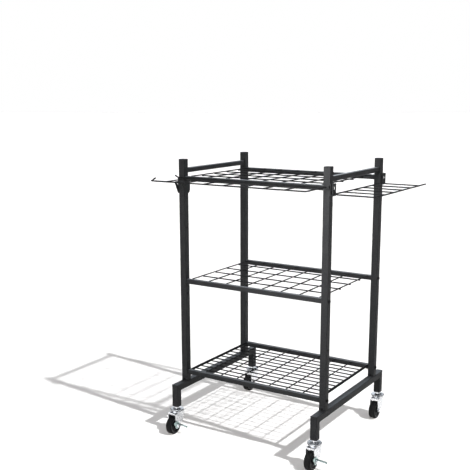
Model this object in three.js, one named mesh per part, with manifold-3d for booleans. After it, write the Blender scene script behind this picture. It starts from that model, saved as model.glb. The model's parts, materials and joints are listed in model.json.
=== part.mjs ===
// Freestanding garden tool rack on four swivel casters.
// Square steel tube posts and rails carry three wire grids and two wire wings.
// Millimetres, +X to the right along the front, +Y to the back, +Z up, floor at zero.

import * as THREE from 'three';
import { mergeVertices } from 'three/addons/utils/BufferGeometryUtils.js';
import Module from 'manifold-3d';

const wasm = await Module();
wasm.setup();

// Layout of the four posts, measured between their centres
const POST_SPACING_X = 650;
const POST_SPACING_Y = 464;

// Running gap between pieces that touch, and how far a cutter runs past what it cuts
const GAP = 0.3;
const OVERRUN = 4;

// Posts, in two sections: the upper one has a reduced end that plugs into the lower one.
// The seam and the spare holes are placed from the middle rails' top faces
const POST_WIDTH = 27.5;
const POST_WALL = 1.5;
const POST_SEAM_DROP = 39.5;
const POST_RISE = 36.5;
const PLUG_LENGTH = 45;
const SPARE_HOLE_RADIUS = 3.5;
const LOWER_HOLE_DROP = 200.5;
const UPPER_HOLE_RISE = 215.5;

// Caps on the post tops
const CAP_THICKNESS = 3;
const CAP_CHAMFER = 1.2;
const CAP_SKIRT_DEPTH = 12;

// Rails of smaller square tube: heights of their top faces above the base rails,
// and how much higher the side rails lie than the top ones
const RAIL_WIDTH = 19;
const RAIL_WALL = 1.5;
const RAIL_END_PLATE = 3;
const BOTTOM_RAIL_HEIGHT = 48.5;
const MIDDLE_RAIL_HEIGHT = 441.5;
const TOP_RAIL_HEIGHT = 866.5;
const SIDE_RAIL_STEP = 32;

// Base frames, one under each pair of posts
const LEG_OFFSET = 71;
const LEG_DROP = 95;
const LEG_END_PLATE = 4;
const SPIGOT_HEIGHT = 30;

// Bolts through the posts into the rail ends
const BOLT_RADIUS = 3;
const BOLT_HEAD_RADIUS = 6.5;
const BOLT_HEAD_THICKNESS = 3.5;
const BOLT_HEAD_CROWN = 1.4;
const BOLT_REACH = 14;

// Wire grids of the top and middle levels
const WIRE_DIAMETER = 4.5;
const WIRE_WELD_SINK = 0.75;
const WIRE_DROP = 0.75;
const WIRE_POKE = 4.5;
const GRID_PITCH_X = 84;
const GRID_WIRES_ACROSS = 8;
const GRID_WIRES_ALONG = 4;

// Wire grid of the bottom level, closer and with heavier end wires
const TRAY_PITCH_X = 76.5;
const TRAY_WIRES_ACROSS = 9;
const TRAY_WIRES_ALONG = 11;
const TRAY_END_WIRE_DIAMETER = 10;

// Wings: wire ladders that stand out from the posts, just below the top rails' top faces
const WING_ROD_DIAMETER = 5;
const WING_CORNER_RADIUS = 9;
const WING_TIP_RISE = 8;
const WING_TIP_LENGTH = 16;
const WING_RETURN_LENGTH = 32;
const FRONT_WING_DROP = 5.5;
const FRONT_WING_DEPTH = 162;
const FRONT_WING_PITCH = 86.5;
const FRONT_WING_BAYS = 7;
const FRONT_WING_OVERHANG = 74;
const SIDE_WING_DROP = 32.5;
const SIDE_WING_DEPTH = 171;
const SIDE_WING_PITCH = 88;
const SIDE_WING_BAYS = 5;
const SIDE_WING_OVERHANG = 71;

// Brackets of the front wing: a saddle on the left front post and a strap on the right one
const SADDLE_THICKNESS = 2.5;
const SADDLE_HEIGHT = 60;
const SADDLE_ARM = 24;
const SADDLE_ARM_DROP = 12;
const SADDLE_ARM_TIP = 6;
const SADDLE_ARM_BAR = 3;
const SADDLE_BRACE = 8;
const SADDLE_WINDOW_FOOT = 28;
const SADDLE_TAPER = 5.5;
const SADDLE_TAPER_RISE = 12.5;
const SADDLE_REAR = 8;
const STRAP_WIDTH = 9.5;
const STRAP_THICKNESS = 2.5;
const STRAP_FOOT = 4;

// Hooks of the side wing, slotted channels on the outer faces of the right-hand posts
const HOOK_THICKNESS = 3;
const HOOK_HEIGHT = 46;

// Casters
const WHEEL_RADIUS = 38;
const WHEEL_WIDTH = 28;
const WHEEL_SIDES = 16;
const WHEEL_SHOULDER = 4;
const WHEEL_RIM_RADIUS = 27;
const WHEEL_RIM_RECESS = 3.5;
const HUB_RADIUS = 11;
const HUB_LENGTH = 33;
const AXLE_RADIUS = 4;
const AXLE_HEAD_RADIUS = 7;
const AXLE_HEAD_THICKNESS = 5;
const CASTER_HEIGHT = 113;
const CASTER_TRAIL = 28;
const STEM_RADIUS = 6;
const STEM_LENGTH = 36;
const COLLAR_RADIUS = 10.5;
const COLLAR_HEIGHT = 9;
const RACE_RADIUS = 28.5;
const RACE_HEIGHT = 7;
const RACE_LIP = 2;
const RACE_SHOULDER = 7;
const KINGPIN_RADIUS = 6;
const KINGPIN_HEAD_RADIUS = 9;
const KINGPIN_HEAD_THICKNESS = 3;
const CROWN_RADIUS = 24;
const CROWN_HEIGHT = 7.5;
const CROWN_PLATE = 3;
const CROWN_RING_WIDTH = 6;
const FORK_THICKNESS = 2.5;
const FORK_EYE_RADIUS = 8.5;
const FORK_LIP = 39;
const FORK_HEEL = 24;
const FORK_HEEL_DROP = 15;
const FORK_KNEE = 12;
const FORK_KNEE_RISE = 9;
const ROUND_SIDES = 12;
const HEX_SIDES = 6;
const SQUARE_SIDES = 4;

// Brake levers on the two front casters, measured from the axle
const BRAKE_THICKNESS = 2.5;
const BRAKE_FOOT_RADIUS = 13;
const BRAKE_TOE = 21;
const BRAKE_TOE_RISE = 19.5;
const BRAKE_HEEL = 17;
const BRAKE_HEEL_RISE = 4;
const BRAKE_TAB_WIDTH = 9;
const BRAKE_TAB_REACH = 39;
const BRAKE_TAB_DROP = 3;
const BRAKE_TAB_LIP = 5;

// Counts of flats on round things
const WIRE_SIDES = 6;
const ROD_SIDES = 8;
const BOLT_SIDES = 8;
const CORNER_STEPS = 4;

// Levels and distances that follow from the sizes above
const HALF_X = POST_SPACING_X / 2;
const HALF_Y = POST_SPACING_Y / 2;
const HALF_POST = POST_WIDTH / 2;
const HALF_RAIL = RAIL_WIDTH / 2;
const SIDE_RAIL_HEIGHT = TOP_RAIL_HEIGHT + SIDE_RAIL_STEP;
const POST_TOP_HEIGHT = SIDE_RAIL_HEIGHT + POST_RISE;
const POST_SEAM_HEIGHT = MIDDLE_RAIL_HEIGHT - POST_SEAM_DROP;
const LOWER_HOLE_HEIGHT = MIDDLE_RAIL_HEIGHT - LOWER_HOLE_DROP;
const UPPER_HOLE_HEIGHT = MIDDLE_RAIL_HEIGHT + UPPER_HOLE_RISE;
const FRONT_WING_HEIGHT = TOP_RAIL_HEIGHT - FRONT_WING_DROP;
const SIDE_WING_HEIGHT = TOP_RAIL_HEIGHT - SIDE_WING_DROP;
const BASE_TOP = CASTER_HEIGHT + LEG_DROP;
const AXLE_HEIGHT = WHEEL_RADIUS * Math.cos(Math.PI / WHEEL_SIDES);
const PLUG_WIDTH = POST_WIDTH - 2 * POST_WALL - 2 * GAP;
const WIRE_RADIUS = WIRE_DIAMETER / 2;
const WING_ROD_RADIUS = WING_ROD_DIAMETER / 2;
const CASTER_Y = HALF_Y + LEG_OFFSET;
const SUPPORT_INNER_GAP = HUB_LENGTH / 2 + GAP;
const INNER_ROD_OFFSET = WING_ROD_RADIUS + GAP;
const HOOK_ROD_OFFSET = GAP + HOOK_THICKNESS + GAP + WING_ROD_RADIUS;
const HOOK_BOTTOM_HEIGHT = SIDE_WING_HEIGHT - WING_ROD_RADIUS - GAP - HOOK_THICKNESS;
const SADDLE_TOP_HEIGHT = FRONT_WING_HEIGHT - WING_ROD_RADIUS - GAP;
const QUARTER_TURN = Math.PI / 2;

const COATED_STEEL = new THREE.MeshStandardMaterial({ color: 0x3a3b3d, roughness: 0.6, metalness: 0.25 });
const ZINC = new THREE.MeshStandardMaterial({ color: 0xc9ccd0, roughness: 0.3, metalness: 0.95 });
const BLACK_BOLT = new THREE.MeshStandardMaterial({ color: 0x1d1d1f, roughness: 0.45, metalness: 0.6 });
const BLACK_RUBBER = new THREE.MeshStandardMaterial({ color: 0x17181a, roughness: 0.7, metalness: 0 });
const BLACK_PLASTIC = new THREE.MeshStandardMaterial({ color: 0x232426, roughness: 0.5, metalness: 0 });

const rack = new THREE.Group();

// A closed three.js geometry as a solid that can be cut and joined
function solidOf(geometry) {
  const bare = geometry.index ? geometry.toNonIndexed() : geometry.clone();
  bare.deleteAttribute('normal');
  bare.deleteAttribute('uv');
  const merged = mergeVertices(bare);
  return new wasm.Manifold(new wasm.Mesh({
    numProp: 3,
    vertProperties: new Float32Array(merged.attributes.position.array),
    triVerts: new Uint32Array(merged.index.array),
  }));
}

function geometryOf(solid) {
  const mesh = solid.getMesh();
  const geometry = new THREE.BufferGeometry();
  geometry.setAttribute('position', new THREE.BufferAttribute(new Float32Array(mesh.vertProperties), 3));
  geometry.setIndex(new THREE.BufferAttribute(new Uint32Array(mesh.triVerts), 1));
  return geometry;
}

function joined(solids) {
  return solids.reduce((whole, piece) => whole.add(piece));
}

function cutBy(solid, cutters) {
  return cutters.reduce((rest, cutter) => rest.subtract(cutter), solid);
}

// A box between two corners
function block(low, high) {
  const size = high.map((value, axis) => value - low[axis]);
  const geometry = new THREE.BoxGeometry(...size);
  geometry.translate(...low.map((value, axis) => value + size[axis] / 2));
  return solidOf(geometry);
}

// A round bar between two points; a flat faces up when it lies level
function bar(start, end, radius, sides) {
  const from = new THREE.Vector3(...start);
  const to = new THREE.Vector3(...end);
  const way = to.clone().sub(from);
  const geometry = new THREE.CylinderGeometry(radius, radius, way.length(), sides);
  geometry.rotateY(Math.PI / sides);
  const upright = new THREE.Vector3(0, 1, 0);
  geometry.applyQuaternion(new THREE.Quaternion().setFromUnitVectors(upright, way.clone().normalize()));
  geometry.translate(...from.add(to).multiplyScalar(1 / 2).toArray());
  return solidOf(geometry);
}

// The corner radius of a bore whose flats clear a pin by the running gap
function boreRadius(radius, sides) {
  return (radius + GAP) / Math.cos(Math.PI / sides);
}

// A ring of (radius, height) points turned round the vertical
function turnedGeometry(profile, sides) {
  const points = profile.map(([radius, height]) => new THREE.Vector2(radius, height));
  const geometry = new THREE.LatheGeometry(points, sides);
  geometry.rotateX(QUARTER_TURN);
  return geometry;
}

function turned(profile, sides) {
  return solidOf(turnedGeometry(profile, sides));
}

// An outline of (y, z) points, thickened along X from one value to another
function plate(outline, fromX, toX, holes = []) {
  const shape = new THREE.Shape(outline.map(([y, z]) => new THREE.Vector2(y, z)));
  for (const hole of holes) {
    shape.holes.push(new THREE.Path(hole.map(([y, z]) => new THREE.Vector2(y, z))));
  }
  const geometry = new THREE.ExtrudeGeometry(shape, { depth: toX - fromX, bevelEnabled: false });
  geometry.rotateX(QUARTER_TURN);
  geometry.rotateZ(QUARTER_TURN);
  geometry.translate(fromX, 0, 0);
  return solidOf(geometry);
}

function arc(centre, radius, from, to, steps) {
  const points = [];
  for (let step = 0; step <= steps; step += 1) {
    const angle = from + ((to - from) * step) / steps;
    points.push([centre[0] + radius * Math.cos(angle), centre[1] + radius * Math.sin(angle)]);
  }
  return points;
}

function place(name, solid, material, x = 0, y = 0, z = 0) {
  const mesh = new THREE.Mesh(geometryOf(solid), material);
  mesh.name = name;
  mesh.position.set(x, y, z);
  rack.add(mesh);
}

// The four corners where a post and a caster stand
const CORNERS = [
  { name: 'front_left', sideX: -1, sideY: -1 },
  { name: 'front_right', sideX: 1, sideY: -1 },
  { name: 'rear_right', sideX: 1, sideY: 1 },
  { name: 'rear_left', sideX: -1, sideY: 1 },
];

const ENDS = [{ name: 'front', sideY: -1 }, { name: 'rear', sideY: 1 }];
const SIDES = [{ name: 'left', sideX: -1 }, { name: 'right', sideX: 1 }];

// The cutter of a clearance hole for a rail bolt
function boltBore(start, end) {
  return bar(start, end, boreRadius(BOLT_RADIUS, BOLT_SIDES), BOLT_SIDES);
}

function squareTube(width, wall, bottom, top) {
  const half = width / 2;
  const hollow = half - wall;
  return block([-half, -half, bottom], [half, half, top])
    .subtract(block([-hollow, -hollow, bottom - OVERRUN], [hollow, hollow, top + OVERRUN]));
}

function holeThroughPost(radius, height) {
  const reach = HALF_POST + OVERRUN;
  return bar([-reach, 0, height], [reach, 0, height], radius, BOLT_SIDES);
}

function lowerPost() {
  const tube = squareTube(POST_WIDTH, POST_WALL, GAP, POST_SEAM_HEIGHT);
  return cutBy(tube, [
    holeThroughPost(SPARE_HOLE_RADIUS, LOWER_HOLE_HEIGHT),
    holeThroughPost(boreRadius(BOLT_RADIUS, BOLT_SIDES), BOTTOM_RAIL_HEIGHT - HALF_RAIL),
  ]);
}

function upperPost() {
  const bottom = POST_SEAM_HEIGHT + GAP;
  const top = POST_TOP_HEIGHT - CAP_THICKNESS - GAP;
  const plugHalf = PLUG_WIDTH / 2;
  const hollow = plugHalf - POST_WALL;
  const outer = joined([
    squareTube(POST_WIDTH, POST_WALL, bottom, top),
    block([-plugHalf, -plugHalf, bottom - PLUG_LENGTH], [plugHalf, plugHalf, bottom + POST_WALL]),
    block([-HALF_POST, -HALF_POST, bottom], [HALF_POST, HALF_POST, bottom + POST_WALL]),
  ]);
  const bore = block(
    [-hollow, -hollow, bottom - PLUG_LENGTH - OVERRUN],
    [hollow, hollow, bottom + POST_WALL + OVERRUN],
  );
  return cutBy(outer, [
    bore,
    holeThroughPost(SPARE_HOLE_RADIUS, UPPER_HOLE_HEIGHT),
    holeThroughPost(boreRadius(BOLT_RADIUS, BOLT_SIDES), MIDDLE_RAIL_HEIGHT - HALF_RAIL),
    holeThroughPost(boreRadius(BOLT_RADIUS, BOLT_SIDES), TOP_RAIL_HEIGHT - HALF_RAIL),
  ]);
}

function postCap() {
  const bottom = POST_TOP_HEIGHT - CAP_THICKNESS;
  const chamferHeight = POST_TOP_HEIGHT - CAP_CHAMFER;
  const upper = HALF_POST - CAP_CHAMFER;
  const plugHalf = PLUG_WIDTH / 2;
  const hollow = plugHalf - POST_WALL;
  const slope = new THREE.CylinderGeometry(
    upper * Math.SQRT2,
    HALF_POST * Math.SQRT2,
    CAP_CHAMFER,
    SQUARE_SIDES,
  );
  slope.rotateY(Math.PI / SQUARE_SIDES);
  slope.rotateX(QUARTER_TURN);
  slope.translate(0, 0, chamferHeight + CAP_CHAMFER / 2);
  return joined([
    block([-HALF_POST, -HALF_POST, bottom], [HALF_POST, HALF_POST, chamferHeight]),
    solidOf(slope),
    block([-plugHalf, -plugHalf, bottom - CAP_SKIRT_DEPTH], [plugHalf, plugHalf, bottom]),
  ]).subtract(block(
    [-hollow, -hollow, bottom - CAP_SKIRT_DEPTH - OVERRUN],
    [hollow, hollow, bottom],
  ));
}

function addPosts() {
  for (const corner of CORNERS) {
    const x = corner.sideX * HALF_X;
    const y = corner.sideY * HALF_Y;
    place(`post_lower_${corner.name}`, lowerPost(), COATED_STEEL, x, y, BASE_TOP);
    place(`post_upper_${corner.name}`, upperPost(), COATED_STEEL, x, y, BASE_TOP);
    place(`post_cap_${corner.name}`, postCap(), BLACK_PLASTIC, x, y, BASE_TOP);
  }
}

// A rail along X between two posts, closed at each end by a plate with a bolt hole
function crossRail() {
  const end = HALF_X - HALF_POST - GAP;
  const inner = end - RAIL_END_PLATE;
  const hollow = HALF_RAIL - RAIL_WALL;
  return cutBy(block([-end, -HALF_RAIL, -RAIL_WIDTH], [end, HALF_RAIL, 0]), [
    block([-inner, -hollow, -RAIL_WIDTH + RAIL_WALL], [inner, hollow, -RAIL_WALL]),
    boltBore([-end - OVERRUN, 0, -HALF_RAIL], [end + OVERRUN, 0, -HALF_RAIL]),
  ]);
}

// A rail along Y, welded between the front and rear posts of one side
function sideRail() {
  const end = HALF_Y - HALF_POST - GAP;
  const hollow = HALF_RAIL - RAIL_WALL;
  return block([-HALF_RAIL, -end, -RAIL_WIDTH], [HALF_RAIL, end, 0]).subtract(block(
    [-hollow, -end - OVERRUN, -RAIL_WIDTH + RAIL_WALL],
    [hollow, end + OVERRUN, -RAIL_WALL],
  ));
}

function addRails() {
  const levels = [
    { name: 'bottom', height: BOTTOM_RAIL_HEIGHT },
    { name: 'middle', height: MIDDLE_RAIL_HEIGHT },
    { name: 'top', height: TOP_RAIL_HEIGHT },
  ];
  for (const level of levels) {
    for (const end of ENDS) {
      const y = end.sideY * HALF_Y;
      place(`${level.name}_rail_${end.name}`, crossRail(), COATED_STEEL, 0, y, BASE_TOP + level.height);
    }
  }
  for (const side of SIDES) {
    const x = side.sideX * HALF_X;
    place(`top_side_rail_${side.name}`, sideRail(), COATED_STEEL, x, 0, BASE_TOP + SIDE_RAIL_HEIGHT);
  }
}

// An upturned U of tube: a rail along Y, a leg down at each end and a spigot for each post
function baseFrame() {
  const end = CASTER_Y + HALF_POST;
  const hollow = HALF_POST - POST_WALL;
  const inner = end - POST_WALL;
  const plateTop = -LEG_DROP + LEG_END_PLATE;
  const stemBore = boreRadius(STEM_RADIUS, ROUND_SIDES);
  const shell = [block([-HALF_POST, -end, -POST_WIDTH], [HALF_POST, end, 0])];
  const cores = [block([-hollow, -inner, -POST_WIDTH + POST_WALL], [hollow, inner, -POST_WALL])];
  const spigots = [];
  for (const { sideY } of ENDS) {
    const leg = sideY * CASTER_Y;
    const post = sideY * HALF_Y;
    const plugHalf = PLUG_WIDTH / 2;
    const bore = plugHalf - POST_WALL;
    shell.push(block([-HALF_POST, leg - HALF_POST, -LEG_DROP], [HALF_POST, leg + HALF_POST, -POST_WALL]));
    cores.push(block([-hollow, leg - hollow, plateTop], [hollow, leg + hollow, -POST_WALL]));
    cores.push(bar([0, leg, -LEG_DROP - OVERRUN], [0, leg, plateTop + OVERRUN], stemBore, ROUND_SIDES));
    spigots.push(block([-plugHalf, post - plugHalf, -POST_WALL], [plugHalf, post + plugHalf, SPIGOT_HEIGHT])
      .subtract(block([-bore, post - bore, 0], [bore, post + bore, SPIGOT_HEIGHT + OVERRUN])));
  }
  return joined([cutBy(joined(shell), cores), ...spigots]);
}

function addBaseFrames() {
  for (const side of SIDES) {
    place(`base_frame_${side.name}`, baseFrame(), COATED_STEEL, side.sideX * HALF_X, 0, BASE_TOP);
  }
}

// A button head bolt along X whose head rests on a post's outer face at x = 0, on that side
function railBolt(grip, sideX) {
  const rim = BOLT_HEAD_THICKNESS - BOLT_HEAD_CROWN;
  const bolt = turnedGeometry([
    [0, BOLT_HEAD_THICKNESS],
    [BOLT_HEAD_RADIUS - BOLT_HEAD_CROWN, BOLT_HEAD_THICKNESS],
    [BOLT_HEAD_RADIUS, rim],
    [BOLT_HEAD_RADIUS, 0],
    [BOLT_RADIUS, 0],
    [BOLT_RADIUS, -grip - BOLT_REACH],
    [0, -grip - BOLT_REACH],
  ].reverse(), BOLT_SIDES);
  bolt.rotateY(sideX * QUARTER_TURN);
  return solidOf(bolt);
}

function addRailBolts() {
  const levels = [
    { name: 'bottom', height: BOTTOM_RAIL_HEIGHT - HALF_RAIL },
    { name: 'middle', height: MIDDLE_RAIL_HEIGHT - HALF_RAIL },
  ];
  for (const level of levels) {
    for (const corner of CORNERS) {
      const bolt = railBolt(POST_WIDTH, corner.sideX);
      const x = corner.sideX * (HALF_X + HALF_POST + GAP);
      const y = corner.sideY * HALF_Y;
      place(`${level.name}_bolt_${corner.name}`, bolt, BLACK_BOLT, x, y, BASE_TOP + level.height);
    }
  }
  for (const end of ENDS) {
    const bolt = railBolt(POST_WIDTH + HOOK_THICKNESS, 1);
    const x = HALF_X + HALF_POST + HOOK_THICKNESS + 2 * GAP;
    const height = BASE_TOP + TOP_RAIL_HEIGHT - HALF_RAIL;
    place(`hook_bolt_${end.name}`, bolt, BLACK_BOLT, x, end.sideY * HALF_Y, height);
  }
}

// Evenly spaced places, centred on zero
function spread(count, pitch) {
  return Array.from({ length: count }, (_, index) => (index - (count - 1) / 2) * pitch);
}

// Welded wires: those across run front to back, and those along run under them
function wireGrid(across, pitchX, along, endDiameter) {
  const reach = HALF_Y - HALF_RAIL - GAP;
  const acrossLevel = -WIRE_DROP;
  const alongLevel = acrossLevel - WIRE_DIAMETER + WIRE_WELD_SINK;
  const bayY = POST_SPACING_Y / (along + 1);
  const places = spread(across, pitchX);
  const last = places[across - 1];
  const wires = places.map((x, index) => {
    const atEnd = index === 0 || index === across - 1;
    const radius = atEnd ? endDiameter / 2 : WIRE_RADIUS;
    const level = acrossLevel + WIRE_RADIUS - radius;
    return bar([x, -reach, level], [x, reach, level], radius, WIRE_SIDES);
  });
  const alongEnd = last + WIRE_POKE;
  for (const y of spread(along, bayY)) {
    wires.push(bar([-alongEnd, y, alongLevel], [alongEnd, y, alongLevel], WIRE_RADIUS, WIRE_SIDES));
  }
  return joined(wires);
}

function addGrids() {
  const open = () => wireGrid(GRID_WIRES_ACROSS, GRID_PITCH_X, GRID_WIRES_ALONG, WIRE_DIAMETER);
  const close = wireGrid(TRAY_WIRES_ACROSS, TRAY_PITCH_X, TRAY_WIRES_ALONG, TRAY_END_WIRE_DIAMETER);
  place('top_grid', open(), COATED_STEEL, 0, 0, BASE_TOP + TOP_RAIL_HEIGHT);
  place('middle_grid', open(), COATED_STEEL, 0, 0, BASE_TOP + MIDDLE_RAIL_HEIGHT);
  place('bottom_grid', close, COATED_STEEL, 0, 0, BASE_TOP + BOTTOM_RAIL_HEIGHT);
}

// A path from point to point, with a section at each point that halves the turn there
class RodPath extends THREE.Curve {
  constructor(points) {
    super();
    this.points = points.map((point) => new THREE.Vector3(...point));
  }

  getPoint(t, target = new THREE.Vector3()) {
    const along = t * (this.points.length - 1);
    const index = Math.min(Math.floor(along), this.points.length - 2);
    return target.lerpVectors(this.points[index], this.points[index + 1], along - index);
  }

  getPointAt(t, target) {
    return this.getPoint(t, target);
  }

  getTangentAt(t, target = new THREE.Vector3()) {
    const last = this.points.length - 1;
    const index = Math.round(t * last);
    const before = this.points[index].clone().sub(this.points[Math.max(index - 1, 0)]).normalize();
    const after = this.points[Math.min(index + 1, last)].clone().sub(this.points[index]).normalize();
    return target.copy(before).add(after).normalize();
  }
}

// A round rod bent along a path of points
function bentRod(points, radius) {
  const ring = arc([0, 0], radius, 0, 2 * Math.PI, ROD_SIDES).slice(0, -1);
  const section = new THREE.Shape(ring.map(([x, y]) => new THREE.Vector2(x, y)));
  return solidOf(new THREE.ExtrudeGeometry(section, {
    steps: points.length - 1,
    extrudePath: new RodPath(points),
    bevelEnabled: false,
  }));
}

// The level points of a quarter bend in a wing's rod
function bend(x, y, from, to) {
  return arc([x, y], WING_CORNER_RADIUS, from, to, CORNER_STEPS).map(([atX, atY]) => [atX, atY, 0]);
}

// The front wing, its inner rod on y = 0 and its end rod on x = 0, reaching to -X and -Y
function frontWing() {
  const depth = FRONT_WING_DEPTH - INNER_ROD_OFFSET;
  const length = FRONT_WING_BAYS * FRONT_WING_PITCH + FRONT_WING_OVERHANG;
  const bendY = -depth + WING_CORNER_RADIUS;
  const outer = [
    [0, 0, 0],
    ...bend(-WING_CORNER_RADIUS, bendY, 0, -QUARTER_TURN),
    ...bend(-length + WING_CORNER_RADIUS, bendY, -QUARTER_TURN, -2 * QUARTER_TURN),
    [-length, -depth + WING_RETURN_LENGTH, WING_TIP_RISE],
  ];
  const inner = [
    [HALF_POST, 0, 0],
    [-length + WING_TIP_LENGTH, 0, 0],
    [-length, 0, WING_TIP_RISE],
  ];
  const rods = [bentRod(outer, WING_ROD_RADIUS), bentRod(inner, WING_ROD_RADIUS)];
  for (let bay = 1; bay <= FRONT_WING_BAYS; bay += 1) {
    const x = -bay * FRONT_WING_PITCH;
    rods.push(bar([x, 0, 0], [x, -depth, 0], WIRE_RADIUS, WIRE_SIDES));
  }
  return joined(rods);
}

// The side wing, its inner rod on x = 0 and its front rod on y = 0, reaching to +X and +Y
function sideWing() {
  const depth = SIDE_WING_DEPTH - HOOK_ROD_OFFSET;
  const length = SIDE_WING_BAYS * SIDE_WING_PITCH + SIDE_WING_OVERHANG;
  const outer = [
    [0, 0, 0],
    ...bend(depth - WING_CORNER_RADIUS, WING_CORNER_RADIUS, -QUARTER_TURN, 0),
    [depth, length, 0],
  ];
  const inner = [
    [0, -HALF_POST, 0],
    [0, POST_SPACING_Y + HALF_POST, 0],
  ];
  const rods = [bentRod(outer, WING_ROD_RADIUS), bentRod(inner, WING_ROD_RADIUS)];
  for (let bay = 1; bay <= SIDE_WING_BAYS; bay += 1) {
    const y = bay * SIDE_WING_PITCH;
    rods.push(bar([0, y, 0], [depth, y, 0], WIRE_RADIUS, WIRE_SIDES));
  }
  return joined(rods);
}

// Two cheeks beside a front post, joined by a web, with an arm in front under the wing
function saddle(leftCheekTop, rightCheekTop) {
  const top = 0;
  const foot = -SADDLE_HEIGHT;
  const web = HALF_POST + GAP + SADDLE_THICKNESS;
  const tip = HALF_POST + SADDLE_ARM;
  const inside = HALF_POST + GAP;
  const rear = HALF_POST + SADDLE_REAR;
  const arm = [
    [-web + SADDLE_THICKNESS, top - SADDLE_ARM_DROP],
    [-tip, top - SADDLE_ARM_DROP],
    [-tip, top - SADDLE_ARM_DROP - SADDLE_ARM_TIP],
    [-web, foot],
    [-web + SADDLE_THICKNESS, foot],
  ];
  const window = [
    [-web, top - SADDLE_ARM_DROP - SADDLE_ARM_BAR],
    [-tip + SADDLE_BRACE, top - SADDLE_ARM_DROP - SADDLE_ARM_BAR],
    [-web, foot + SADDLE_WINDOW_FOOT],
  ];
  const cheek = (cheekTop) => [
    [-inside, cheekTop],
    [-inside, foot],
    [rear - SADDLE_TAPER, foot],
    [rear, foot + SADDLE_TAPER_RISE],
    [rear, cheekTop],
  ];
  const outside = inside + SADDLE_THICKNESS;
  return joined([
    plate(cheek(leftCheekTop), -outside, -inside),
    plate(cheek(rightCheekTop), inside, outside),
    plate(arm, -outside, -inside, [window]),
    plate(arm, inside, outside, [window]),
    block([-outside, -web, foot], [outside, -web + SADDLE_THICKNESS, top]),
  ]);
}

// A strap over the right end of the front wing's inner rod, its feet on the post's face
function rodStrap() {
  const face = HALF_POST + GAP;
  const rodRoom = WING_ROD_RADIUS + GAP;
  const bridge = HALF_POST + INNER_ROD_OFFSET + rodRoom + STRAP_THICKNESS;
  const shoulder = rodRoom + STRAP_THICKNESS;
  const start = HALF_POST - STRAP_WIDTH;
  const feet = block([start, -face - STRAP_THICKNESS, -shoulder - STRAP_FOOT], [HALF_POST, -face, shoulder + STRAP_FOOT]);
  const hoop = block([start, -bridge, -shoulder], [HALF_POST, -face, shoulder]);
  const room = block(
    [start - OVERRUN, -bridge + STRAP_THICKNESS, -rodRoom],
    [HALF_POST + OVERRUN, -face + OVERRUN, rodRoom],
  );
  return cutBy(joined([feet, hoop]), [room]);
}

// A channel that the side wing's inner rod drops into, slotted for the wing's front rod
function wingHook() {
  const gap = WING_ROD_DIAMETER + 2 * GAP;
  const outerFace = 2 * HOOK_THICKNESS + gap;
  const slot = WING_ROD_RADIUS + GAP;
  const boltLevel = TOP_RAIL_HEIGHT - HALF_RAIL - HOOK_BOTTOM_HEIGHT;
  const accessRadius = BOLT_HEAD_RADIUS + GAP;
  const inChannel = HOOK_THICKNESS + gap / 2;
  const side = HALF_POST + OVERRUN;
  const above = HOOK_HEIGHT + OVERRUN;
  return cutBy(block([0, -HALF_POST, 0], [outerFace, HALF_POST, HOOK_HEIGHT]), [
    block([HOOK_THICKNESS, -side, HOOK_THICKNESS], [HOOK_THICKNESS + gap, side, above]),
    block([HOOK_THICKNESS, -slot, HOOK_THICKNESS], [outerFace + OVERRUN, slot, above]),
    boltBore([-OVERRUN, 0, boltLevel], [inChannel, 0, boltLevel]),
    bar([inChannel, 0, boltLevel], [outerFace + OVERRUN, 0, boltLevel], accessRadius, BOLT_SIDES),
  ]);
}

function addWings() {
  const frontRodY = -HALF_Y - HALF_POST - INNER_ROD_OFFSET;
  place('front_wing', frontWing(), COATED_STEEL, HALF_X, frontRodY, BASE_TOP + FRONT_WING_HEIGHT);
  const saddleTop = BASE_TOP + SADDLE_TOP_HEIGHT;
  const underRail = TOP_RAIL_HEIGHT - RAIL_WIDTH - GAP - SADDLE_TOP_HEIGHT;
  place('front_wing_bracket_left', saddle(0, underRail), COATED_STEEL, -HALF_X, -HALF_Y, saddleTop);
  place('front_wing_bracket_right', rodStrap(), COATED_STEEL, HALF_X, -HALF_Y, BASE_TOP + FRONT_WING_HEIGHT);
  const hookFace = HALF_X + HALF_POST + GAP;
  const hookFoot = BASE_TOP + HOOK_BOTTOM_HEIGHT;
  for (const end of ENDS) {
    place(`side_wing_hook_${end.name}`, wingHook(), COATED_STEEL, hookFace, end.sideY * HALF_Y, hookFoot);
  }
  const rodX = HALF_X + HALF_POST + HOOK_ROD_OFFSET;
  place('side_wing', sideWing(), COATED_STEEL, rodX, -HALF_Y, BASE_TOP + SIDE_WING_HEIGHT);
}

// The fixed part of a caster: stem, collar, upper bearing race and kingpin, from the leg down
function casterStem() {
  const raceTop = -COLLAR_HEIGHT;
  const raceBottom = raceTop - RACE_HEIGHT;
  const headTop = raceBottom - CROWN_HEIGHT - 2 * GAP;
  const headBottom = headTop - KINGPIN_HEAD_THICKNESS;
  return turned([
    [0, headBottom],
    [KINGPIN_HEAD_RADIUS, headBottom],
    [KINGPIN_HEAD_RADIUS, headTop],
    [KINGPIN_RADIUS, headTop],
    [KINGPIN_RADIUS, raceBottom],
    [RACE_RADIUS - RACE_LIP, raceBottom],
    [RACE_RADIUS, raceBottom + RACE_LIP],
    [RACE_RADIUS, raceTop - RACE_LIP],
    [RACE_RADIUS - RACE_SHOULDER, raceTop],
    [COLLAR_RADIUS, raceTop],
    [COLLAR_RADIUS, -GAP],
    [STEM_RADIUS, -GAP],
    [STEM_RADIUS, STEM_LENGTH],
    [0, STEM_LENGTH],
  ], ROUND_SIDES);
}

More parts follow.
